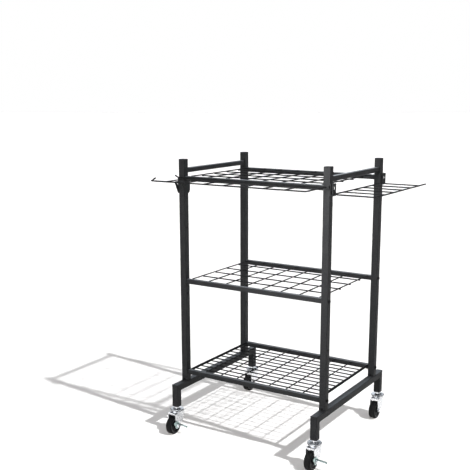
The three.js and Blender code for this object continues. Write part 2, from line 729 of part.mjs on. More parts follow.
// The swivelling fork: a lipped plate under the lower race, with a cheek down to the axle on each side
function casterFork() {
  const top = CASTER_HEIGHT - COLLAR_HEIGHT - RACE_HEIGHT - GAP;
  const bottom = top - CROWN_HEIGHT;
  const plateTop = bottom + CROWN_PLATE;
  const bore = boreRadius(KINGPIN_RADIUS, ROUND_SIDES);
  const inner = SUPPORT_INNER_GAP;
  const outer = inner + FORK_THICKNESS;
  const race = turned([
    [CROWN_RADIUS - CROWN_RING_WIDTH, bottom],
    [CROWN_RADIUS - CROWN_PLATE, bottom],
    [CROWN_RADIUS, plateTop],
    [CROWN_RADIUS, top],
    [CROWN_RADIUS - CROWN_RING_WIDTH, top],
    [CROWN_RADIUS - CROWN_RING_WIDTH, bottom],
  ], ROUND_SIDES);
  const crown = block([-outer, -FORK_LIP, bottom], [outer, FORK_HEEL, plateTop])
    .subtract(bar([0, 0, bottom - OVERRUN], [0, 0, top], bore, ROUND_SIDES));
  const eye = [-CASTER_TRAIL, AXLE_HEIGHT];
  const heelFoot = bottom - FORK_HEEL_DROP;
  const lean = Math.atan2(FORK_KNEE + CASTER_TRAIL - FORK_EYE_RADIUS, FORK_KNEE_RISE);
  const outline = [
    [FORK_KNEE, AXLE_HEIGHT + FORK_KNEE_RISE],
    [FORK_HEEL, heelFoot],
    [FORK_HEEL, plateTop],
    [-FORK_LIP, plateTop],
    [-FORK_LIP, bottom],
    ...arc(eye, FORK_EYE_RADIUS, Math.PI, 2 * Math.PI - lean, ROUND_SIDES / 2),
  ];
  const reach = outer + OVERRUN;
  const axleBore = bar([-reach, ...eye], [reach, ...eye], boreRadius(AXLE_RADIUS, BOLT_SIDES), BOLT_SIDES);
  const cheeks = [plate(outline, inner, outer), plate(outline, -outer, -inner)];
  return joined([crown, race, ...cheeks]).subtract(axleBore);
}

// Tyre, web and hub of a wheel, turned round X, with one of its flats down
function casterWheel() {
  const half = WHEEL_WIDTH / 2;
  const web = half - WHEEL_RIM_RECESS;
  const bore = AXLE_RADIUS + GAP;
  const rightSide = [
    [bore, HUB_LENGTH / 2],
    [HUB_RADIUS, HUB_LENGTH / 2],
    [HUB_RADIUS, web],
    [WHEEL_RIM_RADIUS, web],
    [WHEEL_RIM_RADIUS, half],
    [WHEEL_RADIUS - WHEEL_SHOULDER, half],
    [WHEEL_RADIUS, half - WHEEL_SHOULDER],
  ];
  const leftSide = rightSide.map(([radius, height]) => [radius, -height]).reverse();
  const wheel = turnedGeometry([...rightSide, ...leftSide, rightSide[0]].reverse(), WHEEL_SIDES);
  wheel.rotateY(QUARTER_TURN);
  wheel.rotateX(Math.PI / WHEEL_SIDES);
  return solidOf(wheel);
}

// The axle bolt along X with a hex head at each end; a brake lever sits under the +X head
function casterAxle(withBrake) {
  const left = SUPPORT_INNER_GAP + FORK_THICKNESS + GAP;
  const right = left + (withBrake ? BRAKE_THICKNESS + GAP : 0);
  return joined([
    bar([-left - AXLE_HEAD_THICKNESS, 0, 0], [right + AXLE_HEAD_THICKNESS, 0, 0], AXLE_RADIUS, BOLT_SIDES),
    bar([-left - AXLE_HEAD_THICKNESS, 0, 0], [-left, 0, 0], AXLE_HEAD_RADIUS, HEX_SIDES),
    bar([right, 0, 0], [right + AXLE_HEAD_THICKNESS, 0, 0], AXLE_HEAD_RADIUS, HEX_SIDES),
  ]);
}

// A side brake: a plate on the axle, with a foot tab behind it that stands out to +X and ends in a lip
function brakeLever() {
  const inner = SUPPORT_INNER_GAP + FORK_THICKNESS + GAP;
  const outer = inner + BRAKE_THICKNESS;
  const outline = [
    ...arc([0, 0], BRAKE_FOOT_RADIUS, -Math.PI, 0, ROUND_SIDES / 2),
    [BRAKE_HEEL, 0],
    [BRAKE_HEEL, BRAKE_HEEL_RISE],
    [BRAKE_HEEL_RISE, BRAKE_TOE_RISE],
    [-BRAKE_TOE, BRAKE_TOE_RISE],
  ];
  const tipX = outer + BRAKE_TAB_REACH;
  const tipTop = BRAKE_HEEL_RISE - BRAKE_TAB_DROP;
  const tab = new THREE.Shape([
    [inner, BRAKE_HEEL_RISE - BRAKE_THICKNESS],
    [outer, BRAKE_HEEL_RISE - BRAKE_THICKNESS],
    [tipX - BRAKE_THICKNESS, tipTop - BRAKE_THICKNESS],
    [tipX - BRAKE_THICKNESS, tipTop - BRAKE_TAB_LIP],
    [tipX, tipTop - BRAKE_TAB_LIP],
    [tipX, tipTop],
    [outer, BRAKE_HEEL_RISE],
    [inner, BRAKE_HEEL_RISE],
  ].map(([x, z]) => new THREE.Vector2(x, z)));
  const tabGeometry = new THREE.ExtrudeGeometry(tab, { depth: BRAKE_TAB_WIDTH, bevelEnabled: false });
  tabGeometry.rotateX(QUARTER_TURN);
  tabGeometry.translate(0, BRAKE_HEEL, 0);
  const axleBore = bar([0, 0, 0], [tipX, 0, 0], boreRadius(AXLE_RADIUS, BOLT_SIDES), BOLT_SIDES);
  return joined([plate(outline, inner, outer), solidOf(tabGeometry)]).subtract(axleBore);
}

function addCasters() {
  for (const corner of CORNERS) {
    const x = corner.sideX * HALF_X;
    const y = corner.sideY * CASTER_Y;
    const axleY = y - CASTER_TRAIL;
    const withBrake = corner.sideY < 0;
    place(`caster_stem_${corner.name}`, casterStem(), ZINC, x, y, CASTER_HEIGHT);
    place(`caster_fork_${corner.name}`, casterFork(), ZINC, x, y, 0);
    place(`caster_wheel_${corner.name}`, casterWheel(), BLACK_RUBBER, x, axleY, AXLE_HEIGHT);
    place(`caster_axle_${corner.name}`, casterAxle(withBrake), ZINC, x, axleY, AXLE_HEIGHT);
    if (withBrake) {
      place(`brake_lever_${corner.name}`, brakeLever(), ZINC, x, axleY, AXLE_HEIGHT);
    }
  }
}

addBaseFrames();
addPosts();
addRails();
addRailBolts();
addGrids();
addWings();
addCasters();

// The origin lies on the floor under the middle of the whole rack's box
const extent = new THREE.Box3().setFromObject(rack);
const middle = extent.getCenter(new THREE.Vector3());
rack.position.set(-middle.x, -middle.y, -extent.min.z);
rack.updateMatrixWorld(true);

export default rack;
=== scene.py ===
# Looks of a rolling garden tool rack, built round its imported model.
# Metres, +X to the right along the front, +Y to the back, +Z up, floor at zero.

import json
import math

import bmesh
import bpy
from mathutils import Matrix, Vector

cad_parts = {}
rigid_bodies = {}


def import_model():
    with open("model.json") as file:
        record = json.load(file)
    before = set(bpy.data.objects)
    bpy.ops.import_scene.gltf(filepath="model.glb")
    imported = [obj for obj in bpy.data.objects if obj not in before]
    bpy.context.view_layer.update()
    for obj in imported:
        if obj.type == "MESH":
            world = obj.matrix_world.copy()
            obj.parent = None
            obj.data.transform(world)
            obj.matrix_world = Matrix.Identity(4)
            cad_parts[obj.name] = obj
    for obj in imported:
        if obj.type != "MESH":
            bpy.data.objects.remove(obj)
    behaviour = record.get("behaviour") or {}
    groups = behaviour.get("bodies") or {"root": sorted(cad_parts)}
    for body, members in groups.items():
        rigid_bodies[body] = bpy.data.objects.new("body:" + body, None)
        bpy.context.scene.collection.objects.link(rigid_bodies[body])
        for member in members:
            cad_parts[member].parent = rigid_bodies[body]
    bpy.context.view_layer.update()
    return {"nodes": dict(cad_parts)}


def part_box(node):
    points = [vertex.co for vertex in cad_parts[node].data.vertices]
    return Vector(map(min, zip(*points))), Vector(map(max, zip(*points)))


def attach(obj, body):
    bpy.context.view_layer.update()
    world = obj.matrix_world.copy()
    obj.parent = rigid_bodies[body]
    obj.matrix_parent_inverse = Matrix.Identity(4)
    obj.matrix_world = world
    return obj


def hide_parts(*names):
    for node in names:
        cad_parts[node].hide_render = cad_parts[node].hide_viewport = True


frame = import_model()

MM = 0.001
X = Vector((1, 0, 0))
Y = Vector((0, 1, 0))
Z = Vector((0, 0, 1))
CORNERS = {"front_left": (-1, -1), "front_right": (1, -1), "rear_right": (1, 1), "rear_left": (-1, 1)}
ENDS = {"front": -1, "rear": 1}
SIDES = {"left": -1, "right": 1}

# Square tube: wall, and the outer corner radius of the posts and of the rails
TUBE_WALL = 1.5 * MM
POST_CORNER = 2.4 * MM
RAIL_CORNER = 2.1 * MM
TUBE_EDGE = 0.3 * MM
GAP = 0.3 * MM

# Wires and rods
WIRE_RADIUS = 2.25 * MM
ROD_RADIUS = 2.5 * MM
TRAY_ROD_RADIUS = 5 * MM
WELD_SINK = 0.75 * MM

# Roundness: sides of a rod, a wing's rod and a weld bead, and how far a rod's end is cut back
ROD_SIDES = 14
WING_ROD_SIDES = 16
BEAD_SIDES = 8
ROD_END_SHARE = 0.3

# Meshes: the most of a side that a fillet takes, and how close points merge
FILLET_SHARE = 0.48
MERGE = MM / 50


def box_of(node):
    """Lowest corner, highest corner and centre of a node."""
    low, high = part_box(node)
    return low, high, (low + high) / 2


# Outlines across a tube or a rod, as (u, v) points that run anticlockwise

def rounded_square(half, radius, steps=5):
    """A square with rounded corners."""
    points = []
    for quarter in range(4):
        middle = math.radians(45 + 90 * quarter)
        cu = math.copysign(half - radius, math.cos(middle))
        cv = math.copysign(half - radius, math.sin(middle))
        for step in range(steps + 1):
            angle = math.radians(90 * (quarter + step / steps))
            points.append((cu + radius * math.cos(angle), cv + radius * math.sin(angle)))
    return points


def circle(radius, count=48):
    """Points of a circle."""
    turn = 2 * math.pi / count
    return [(radius * math.cos(i * turn), radius * math.sin(i * turn)) for i in range(count)]


def hexagon(width, limit, count=48):
    """A hexagon of that width across its flats, with its corners cut by a circle."""
    points = []
    for i in range(count):
        angle = 2 * math.pi * i / count
        reach = width / 2 / math.cos((angle % (math.pi / 3)) - math.pi / 6)
        reach = min(reach, limit)
        points.append((reach * math.cos(angle), reach * math.sin(angle)))
    return points


def placed(section, origin, side, up):
    """The outline's points in space, with u along side and v along up."""
    return [origin + side * u + up * v for u, v in section]


def arc(centre, radius, start, end, steps):
    """Points round a centre, from one angle in degrees to another."""
    points = []
    for step in range(steps + 1):
        angle = math.radians(start + (end - start) * step / steps)
        points.append((centre[0] + radius * math.cos(angle), centre[1] + radius * math.sin(angle)))
    return points


def filleted(points, radius, steps=5):
    """A closed outline with every corner rounded."""
    result = []
    count = len(points)
    for i, point in enumerate(points):
        here = Vector(point)
        before = Vector(points[i - 1]) - here
        after = Vector(points[(i + 1) % count]) - here
        half_angle = before.angle(after) / 2
        reach = min(radius / math.tan(half_angle), before.length * FILLET_SHARE, after.length * FILLET_SHARE)
        start = here + before.normalized() * reach
        end = here + after.normalized() * reach
        for step in range(steps + 1):
            t = step / steps
            result.append(tuple(start.lerp(here, t).lerp(here.lerp(end, t), t)))
    return result


# Meshes from rings of points

def add_rings(bm, rings, wrap=False, caps=True):
    """Faces between neighbouring rings, closed at both ends or round to the first ring again."""
    rows = [[bm.verts.new(point) for point in ring] for ring in rings]
    pairs = list(zip(rows, rows[1:]))
    if wrap:
        pairs.append((rows[-1], rows[0]))
    for first, second in pairs:
        for i in range(len(first)):
            j = (i + 1) % len(first)
            bm.faces.new((first[i], first[j], second[j], second[i]))
    if caps and not wrap:
        bm.faces.new(list(reversed(rows[0])))
        bm.faces.new(rows[-1])


def add_tube(bm, start, end, side, half, corner):
    """A square tube with open ends, its cut edges broken."""
    along = (end - start).normalized()
    up = along.cross(side)
    broken = rounded_square(half - TUBE_EDGE, corner)
    outer = rounded_square(half, corner)
    inner = rounded_square(half - TUBE_WALL, corner / 3)
    step = along * TUBE_EDGE
    add_rings(bm, [
        placed(broken, start, side, up),
        placed(outer, start + step, side, up),
        placed(outer, end - step, side, up),
        placed(broken, end, side, up),
        placed(inner, end, side, up),
        placed(inner, start, side, up),
    ], wrap=True)


def add_turned(bm, profile, origin, axis, side, count=48, wrap=False):
    """A profile of (radius, height) points turned round an axis."""
    up = axis.cross(side)
    rings = [placed(circle(radius, count), origin + axis * height, side, up) for radius, height in profile]
    add_rings(bm, rings, wrap=wrap)


def add_rod(bm, points, radius, count=ROD_SIDES, closed=False):
    """A round rod along a path, with its two ends broken."""
    points = [Vector(point) for point in points]
    total = len(points)
    edge = radius * ROD_END_SHARE
    normal = None
    rings = []
    for i, point in enumerate(points):
        before = points[i - 1] if i or closed else None
        after = points[(i + 1) % total] if i + 1 < total or closed else None
        ways = [(b - a).normalized() for a, b in ((before, point), (point, after)) if a and b]
        along = sum(ways, Vector()).normalized()
        if normal is None:
            normal = along.orthogonal()
        normal = (normal - along * normal.dot(along)).normalized()
        other = along.cross(normal)
        if after is not None and before is None:
            rings.append(placed(circle(radius - edge, count), point, normal, other))
            point = point + along * edge
        if after is None:
            rings.append(placed(circle(radius, count), point - along * edge, normal, other))
            rings.append(placed(circle(radius - edge, count), point, normal, other))
        else:
            rings.append(placed(circle(radius, count), point, normal, other))
    add_rings(bm, rings, wrap=closed)


def add_bead(bm, centre, radii):
    """A blob of weld metal."""
    matrix = Matrix.Translation(centre) @ Matrix.Diagonal((*radii, 1))
    bmesh.ops.create_icosphere(bm, subdivisions=2, radius=1, matrix=matrix)


def add_strip(bm, stations, thickness, place):
    """Bent sheet: each station is (x, z, normal angle, first y, last y) of its outer face."""
    rings = []
    for x, z, angle, first, last in stations:
        ix = x - thickness * math.cos(math.radians(angle))
        iz = z - thickness * math.sin(math.radians(angle))
        rings.append([place(x, first, z), place(x, last, z), place(ix, last, iz), place(ix, first, iz)])
    add_rings(bm, rings)


def soften(bm, width, segments=2, angle=28):
    """Rounds every edge where two faces meet at more than an angle."""
    bmesh.ops.recalc_face_normals(bm, faces=bm.faces)
    limit = math.radians(angle)
    edges = [e for e in bm.edges if len(e.link_faces) == 2 and e.calc_face_angle(0) > limit]
    bmesh.ops.bevel(bm, geom=edges, offset=width, segments=segments, profile=0.5, affect="EDGES", clamp_overlap=True)


def mesh_of(name, bm):
    """A mesh with its faces turned outward."""
    bmesh.ops.recalc_face_normals(bm, faces=bm.faces)
    mesh = bpy.data.meshes.new(name)
    bm.to_mesh(mesh)
    bm.free()
    return mesh


def linked(name, data):
    """A new object in the scene."""
    item = bpy.data.objects.new(name, data)
    bpy.context.collection.objects.link(item)
    return item


def settled(item):
    """The mesh of an object with its modifiers applied."""
    bpy.context.view_layer.update()
    return bpy.data.meshes.new_from_object(item.evaluated_get(bpy.context.evaluated_depsgraph_get()))


def carved(mesh, cutter_bm):
    """The mesh less the cutters."""
    body = linked("carving", mesh)
    tool = linked("cutter", mesh_of("cutter", cutter_bm))
    cut = body.modifiers.new("cut", "BOOLEAN")
    cut.operation = "DIFFERENCE"
    cut.solver = "EXACT"
    cut.object = tool
    result = settled(body)
    bpy.data.objects.remove(body)
    bpy.data.objects.remove(tool)
    return result


def add_plate(bm, outline, thickness, edge, place):
    """A flat plate of (u, v) points, thickened along w, with its edges broken."""
    curve = bpy.data.curves.new("outline", "CURVE")
    curve.dimensions = "2D"
    curve.fill_mode = "BOTH"
    curve.extrude = thickness / 2 - edge
    curve.bevel_depth = edge
    curve.bevel_resolution = 1
    curve.offset = -edge
    spline = curve.splines.new("POLY")
    spline.points.add(len(outline) - 1)
    for point, (u, v) in zip(spline.points, outline):
        point.co = (u, v, 0, 1)
    spline.use_cyclic_u = True
    holder = linked("outline", curve)
    flat = settled(holder)
    bpy.data.objects.remove(holder)
    fresh = bmesh.new()
    fresh.from_mesh(flat)
    bmesh.ops.remove_doubles(fresh, verts=fresh.verts, dist=MERGE / 2)
    for vertex in fresh.verts:
        vertex.co = place(*vertex.co)
    merged = bpy.data.meshes.new("plate")
    fresh.to_mesh(merged)
    fresh.free()
    bm.from_mesh(merged)


def piece(name, mesh, surface, body, nodes=(), origin=None, smooth=34):
    """A piece with its finish that rides on a body and stands for its nodes."""
    slot_name, material = surface
    mesh.name = name
    mesh.materials.clear()
    mesh.materials.append(material)
    mesh.shade_smooth()
    mesh.set_sharp_from_angle(angle=math.radians(smooth))
    item = linked(name, mesh)
    if origin is not None:
        item.location = origin
    weighted = item.modifiers.new("weighted", "WEIGHTED_NORMAL")
    weighted.keep_sharp = True
    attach(item, body)
    if nodes:
        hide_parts(*nodes)


def look(node, bm, surface, body="root", **options):
    """The piece that stands for one node."""
    piece(node + "_look", mesh_of(node, bm), surface, body, [node], **options)


# Finishes

# The noise's usual range, and where the specks of a finish begin in it
NOISE_RANGE = (0.3, 0.7)
SPECK_START = -0.5
SPECK_DETAIL = 4


class Finish:
    """A material whose colour, roughness and relief come from noise in the piece's own space."""

    def __init__(self, name, metallic=0.0, specular=0.5):
        self.material = bpy.data.materials.new(name)
        self.material.use_nodes = True
        self.tree = self.material.node_tree
        self.shader = self.tree.nodes["Principled BSDF"]
        self.shader.inputs["Metallic"].default_value = metallic
        self.shader.inputs["Specular IOR Level"].default_value = specular
        self.place = self.tree.nodes.new("ShaderNodeTexCoord").outputs["Object"]

    def noise(self, scale, detail=2.0):
        """Noise of that many waves to the metre."""
        node = self.tree.nodes.new("ShaderNodeTexNoise")
        node.inputs["Scale"].default_value = scale
        node.inputs["Detail"].default_value = detail
        self.tree.links.new(self.place, node.inputs["Vector"])
        return node.outputs["Fac"]

    def spread(self, source, low, high):
        """The noise stretched over its usual range, to run from low to high."""
        node = self.tree.nodes.new("ShaderNodeMapRange")
        node.inputs["From Min"].default_value, node.inputs["From Max"].default_value = NOISE_RANGE
        node.inputs["To Min"].default_value = low
        node.inputs["To Max"].default_value = high
        self.tree.links.new(source, node.inputs["Value"])
        return node.outputs["Result"]

    def blend(self, factor, second):
        """A mixing node that runs towards a colour, with its first input left to the caller."""
        node = self.tree.nodes.new("ShaderNodeMix")
        node.data_type = "RGBA"
        node.inputs["B"].default_value = (*second, 1)
        self.tree.links.new(factor, node.inputs["Factor"])
        return node

    def colour(self, drift, first, second, grain=None, speck=None):
        """A slow drift between two colours, and specks of a third one."""
        mix = self.blend(self.spread(drift, 0, 1), second)
        mix.inputs["A"].default_value = (*first, 1)
        if grain is not None:
            under = mix.outputs["Result"]
            mix = self.blend(self.spread(grain, SPECK_START, 1), speck)
            self.tree.links.new(under, mix.inputs["A"])
        self.tree.links.new(mix.outputs["Result"], self.shader.inputs["Base Color"])

    def roughness(self, source, low, high):
        """Roughness that follows a noise."""
        self.tree.links.new(self.spread(source, low, high), self.shader.inputs["Roughness"])

    def relief(self, *layers):
        """Bump layers, each (noise, depth in metres)."""
        normal = None
        for source, depth in layers:
            node = self.tree.nodes.new("ShaderNodeBump")
            node.inputs["Strength"].default_value = 1
            node.inputs["Distance"].default_value = depth
            self.tree.links.new(source, node.inputs["Height"])
            if normal is not None:
                self.tree.links.new(normal, node.inputs["Normal"])
            normal = node.outputs["Normal"]
        self.tree.links.new(normal, self.shader.inputs["Normal"])


def finish(slot, name, drift, first, second, rough, relief, speck=None, **shader):
    """A finish for a slot of the record.

    A noise of scale drift runs from the first colour to the second, and speck is (scale, colour).
    rough is (scale, detail, low, high), and relief is a (scale, detail, depth in millimetres) for each layer.
    """
    made = Finish(name, **shader)
    if speck:
        made.colour(made.noise(drift), first, second, made.noise(speck[0], SPECK_DETAIL), speck[1])
    else:
        made.colour(made.noise(drift), first, second)
    scale, detail, low, high = rough
    made.roughness(made.noise(scale, detail), low, high)
    made.relief(*((made.noise(scale, detail), depth * MM) for scale, detail, depth in relief))
    return slot, made.material


# Charcoal powder coat with a fine sandy grain, and the same on the wires, thinner and a little darker
COAT = finish("powder_coat", "charcoal powder coat", 38, (0.030, 0.031, 0.033), (0.040, 0.041, 0.042),
              (160, 2, 0.46, 0.62), [(300, 2, 0.05), (1100, 3, 0.06)],
              speck=(420, (0.062, 0.063, 0.065)), specular=0.42)
WIRE = finish("powder_coat", "wire coat", 38, (0.014, 0.0145, 0.0155), (0.020, 0.0205, 0.021),
              (160, 2, 0.5, 0.66), [(300, 2, 0.04)],
              speck=(420, (0.034, 0.035, 0.036)), specular=0.3)
# Bright zinc plate with faint spangle, and blue-green passivated zinc on the brake levers
ZINC = finish("zinc", "bright zinc", 90, (0.70, 0.71, 0.73), (0.86, 0.87, 0.88),
              (240, 3, 0.18, 0.36), [(130, 2, 0.05), (900, 3, 0.01)], metallic=1.0)
LEVER = finish("zinc", "passivated zinc", 110, (0.46, 0.57, 0.55), (0.60, 0.70, 0.68),
               (260, 3, 0.28, 0.44), [(160, 2, 0.04)], metallic=1.0)
# Painted shade: a near-black ring that fills the gap between a caster's races, standing in for the shade there
RACE_GAP_SHADE = finish("zinc", "painted shade in race gap", 200, (0.012, 0.012, 0.013), (0.024, 0.024, 0.025),
              (500, 3, 0.4, 0.6), [(700, 2, 0.02)], metallic=0.4, specular=0.3)
# Black oxide on the screws and bolts, a little glossy
BLACK = finish("black_bolt", "black oxide", 300, (0.018, 0.018, 0.019), (0.032, 0.032, 0.034),
               (700, 3, 0.28, 0.42), [(1200, 2, 0.015)], metallic=0.6)
# Hard black rubber of the tread, the smoother sidewall ring whose colour is made much lighter as a painted highlight,
# and the wheel's moulded core
RUBBER = finish("wheel_rubber", "tyre rubber", 60, (0.010, 0.010, 0.011), (0.018, 0.018, 0.018),
                (200, 3, 0.5, 0.68), [(700, 3, 0.04)],
                speck=(500, (0.030, 0.029, 0.028)), specular=0.35)
# Painted highlight: the sidewall ring's colour is set many times lighter than the tread's black
SIDEWALL_HIGHLIGHT = finish("wheel_rubber", "sidewall rubber with painted highlight", 90, (0.095, 0.095, 0.096), (0.130, 0.130, 0.131),
                  (260, 3, 0.32, 0.44), [(600, 2, 0.02)])
CORE = finish("wheel_rubber", "moulded core", 80, (0.011, 0.011, 0.012), (0.017, 0.017, 0.018),
              (300, 2, 0.34, 0.46), [(900, 2, 0.02)], specular=0.4)
# Moulded black plastic of the post caps, with a fine leather grain
CAP = finish("cap_plastic", "moulded cap", 120, (0.022, 0.022, 0.023), (0.030, 0.030, 0.031),
             (500, 2, 0.42, 0.56), [(1300, 3, 0.05)], specular=0.4)


# Fasteners

BOLT_SEAT = 3.5 * MM
BOLT = {"radius": 7.2 * MM, "height": 4.8 * MM, "socket": 4 * MM, "shank": 3 * MM}
SPLICE_SCREW = {"radius": 4.6 * MM, "height": 2.2 * MM, "socket": 2.6 * MM, "shank": 2 * MM, "length": 4 * MM}
FOOT_SCREW = {"radius": 4.2 * MM, "height": 2.4 * MM, "socket": 2.4 * MM, "shank": 2 * MM, "length": 4 * MM}

# Shares of a screw head's radius and height and of its socket's width, and the socket's rings as (width, depth)
HEAD_FOOT = 0.96
HEAD_RIM = 0.18
SOCKET_MOUTH = 0.66
SOCKET_RINGS = ((1, 0.08), (1, 0.55), (0.5, 0.62))


def add_button_screw(bm, foot, axis, radius, height, socket, shank, length):
    """A domed head with a hex socket that stands on foot, and its shank behind."""
    side = axis.orthogonal().normalized()
    up = axis.cross(side)
    rim = height * HEAD_RIM
    dome = arc((0, 0), 1, 0, 60, 7)
    rise = (height - rim) / dome[-1][1]
    top = foot + axis * height
    rings = [placed(circle(shank), foot - axis * length, side, up), placed(circle(shank), foot, side, up)]
    rings.append(placed(circle(radius * HEAD_FOOT), foot, side, up))
    rings += [placed(circle(radius * u), foot + axis * (rim + rise * v), side, up) for u, v in dome]
    rings.append(placed(circle(socket * SOCKET_MOUTH), top, side, up))
    rings += [placed(hexagon(socket * width, socket), top - axis * height * depth, side, up)
              for width, depth in SOCKET_RINGS]
    add_rings(bm, rings)


def make_bolts():
    """The bolts through the posts, in place of their nodes."""
    for name in frame["nodes"]:
        if "_bolt_" not in name:
            continue
        low, high, centre = box_of(name)
        outward = 1 if centre.x > post_centre("front_left").x + HALF_SPAN_X else -1
        seat = high.x - BOLT_SEAT if outward > 0 else low.x + BOLT_SEAT
        length = (high.x - low.x) - BOLT_SEAT
        bm = bmesh.new()
        add_button_screw(bm, Vector(), X * outward, length=length, **BOLT)
        foot = Vector((seat, centre.y, centre.z))
        look(name, bm, BLACK, origin=foot)


# Posts

POST_HALF = 13.75 * MM
PLUG_HALF = 11.95 * MM
SPARE_HOLE_RADIUS = 3.5 * MM
LOWER_HOLE_DROP = 200.5 * MM
UPPER_HOLE_RISE = 215.5 * MM
SPLICE_SCREW_DROP = 22 * MM
FOOT_SCREW_RISE = 7 * MM
CAP_THICKNESS = 3 * MM
CAP_SKIRT = 12 * MM
CAP_SKIRT_LEAD = 0.6 * MM
CAP_EDGE = 0.3 * MM
CAP_SHOULDER = 1.5 * MM
CAP_SHOULDER_RISE = 1.0 * MM
CAP_SHOULDER_INSET = 1.4 * MM
CAP_SHOULDER_ANGLES = (0.4, 0.8, 1.2, math.pi / 2)
# Crown of a cap: millimetres below its top, and share of the post's half width
CAP_DOME = ((0.22, 0.7), (0.06, 0.4), (0, 0.12))
CAP_CORNER_SHARE = 0.45


def post_centre(corner):
    """The point on the floor under a post."""
    centre = box_of(f"post_lower_{corner}")[2]
    return Vector((centre.x, centre.y, 0))


HALF_SPAN_X = (post_centre("front_right").x - post_centre("front_left").x) / 2
HALF_SPAN_Y = (post_centre("rear_left").y - post_centre("front_left").y) / 2


def make_section(part, corner, tubes, hole):
    """A post section of tubes, each (foot, top, half width, corner radius), with a hole through its sides."""
    bm = bmesh.new()
    for foot, top, half, radius in tubes:
        add_tube(bm, Z * foot, Z * top, X, half, radius)
    cutter = bmesh.new()
    reach = 2 * POST_HALF
    add_turned(cutter, [(SPARE_HOLE_RADIUS, -reach), (SPARE_HOLE_RADIUS, reach)], Z * hole, X, Y, 40)
    node = f"post_{part}_{corner}"
    piece(node + "_look", carved(mesh_of(part, bm), cutter), COAT, "root", [node], origin=post_centre(corner))


def make_posts():
    """Two sections, a cap and two small screws for each post."""
    foot, seam = (corner.z for corner in box_of("post_lower_front_left")[:2])
    plug_foot, top = (corner.z for corner in box_of("post_upper_front_left")[:2])
    middle_rail = box_of("middle_rail_front")[1].z
    for corner, (side_x, _) in CORNERS.items():
        origin = post_centre(corner)
        tube = (seam + GAP, top, POST_HALF, POST_CORNER)
        plug = (plug_foot, seam + TUBE_WALL, PLUG_HALF, POST_CORNER - TUBE_WALL / 2)
        make_section("lower", corner, [(foot, seam, POST_HALF, POST_CORNER)], middle_rail - LOWER_HOLE_DROP)
        make_section("upper", corner, [tube, plug], middle_rail + UPPER_HOLE_RISE)
        make_cap(corner, origin)
        bm = bmesh.new()
        splice = Vector((-side_x * POST_HALF, 0, seam - SPLICE_SCREW_DROP))
        add_button_screw(bm, splice, -X * side_x, **SPLICE_SCREW)
        add_button_screw(bm, Vector((0, -POST_HALF, foot + FOOT_SCREW_RISE)), -Y, **FOOT_SCREW)
        piece(f"post_screws_{corner}", mesh_of("screws", bm), BLACK, "root", origin=origin)


def make_cap(corner, origin):
    """A moulded cap: a flange over the tube's end with a crowned top, and a skirt inside."""
    top = box_of(f"post_cap_{corner}")[1].z
    base = top - CAP_THICKNESS
    tip = base - CAP_SKIRT
    shoulder = top - CAP_SHOULDER
    skirt = [(tip, PLUG_HALF - CAP_SKIRT_LEAD), (tip + MM, PLUG_HALF), (base, PLUG_HALF)]
    flange = [(base, POST_HALF - CAP_EDGE), (base + CAP_EDGE, POST_HALF), (shoulder, POST_HALF)]
    crown = [(shoulder + CAP_SHOULDER_RISE * math.sin(t), POST_HALF - CAP_SHOULDER_INSET * (1 - math.cos(t)))
             for t in CAP_SHOULDER_ANGLES]
    dome = [(top - drop * MM, POST_HALF * share) for drop, share in CAP_DOME]
    bm = bmesh.new()
    rings = []
    for height, half in skirt + flange + crown + dome:
        corner_radius = min(POST_CORNER, half * CAP_CORNER_SHARE)
        rings.append(placed(rounded_square(half, corner_radius), Z * height, X, Y))
    add_rings(bm, rings)
    look(f"post_cap_{corner}", bm, CAP, origin=origin)


# Rails and base frames

RAIL_END = 3 * MM
RAIL_BEAD = 0.9 * MM
SPIGOT_BEAD = 0.7 * MM
MITRE_BEAD = 0.85 * MM


def add_seam(bm, outline, radius):
    """A fine weld bead along a closed outline."""
    add_rod(bm, outline, radius, BEAD_SIDES, closed=True)


def make_rails():
    """Cross rails on three levels and the welded side rails of the top."""
    for level in ("bottom", "middle", "top"):
        for end in ENDS:
            name = f"{level}_rail_{end}"
            low, high, centre = box_of(name)
            half = (high.y - low.y) / 2
            reach = (high.x - low.x) / 2
            bm = bmesh.new()
            add_tube(bm, -X * reach, X * reach, Z, half, RAIL_CORNER)
            for turn in (-1, 1):
                plug = rounded_square(half - TUBE_WALL, RAIL_CORNER / 3)
                inner = X * turn * (reach - RAIL_END)
                outer = X * turn * (reach - TUBE_EDGE)
                add_rings(bm, [placed(plug, inner, Z, Y), placed(plug, outer, Z, Y)])
            look(name, bm, COAT, origin=centre)
    for side in SIDES:
        name = f"top_side_rail_{side}"
        low, high, centre = box_of(name)
        half = (high.x - low.x) / 2
        reach = (high.y - low.y) / 2
        bm = bmesh.new()
        add_tube(bm, -Y * reach, Y * reach, Z, half, RAIL_CORNER)
        for turn in (-1, 1):
            add_seam(bm, placed(rounded_square(half, RAIL_CORNER), Y * turn * reach, Z, X), RAIL_BEAD)
        look(name, bm, COAT, origin=centre)


LEG_PLATE = 4 * MM
STEM_BORE = 6.4 * MM


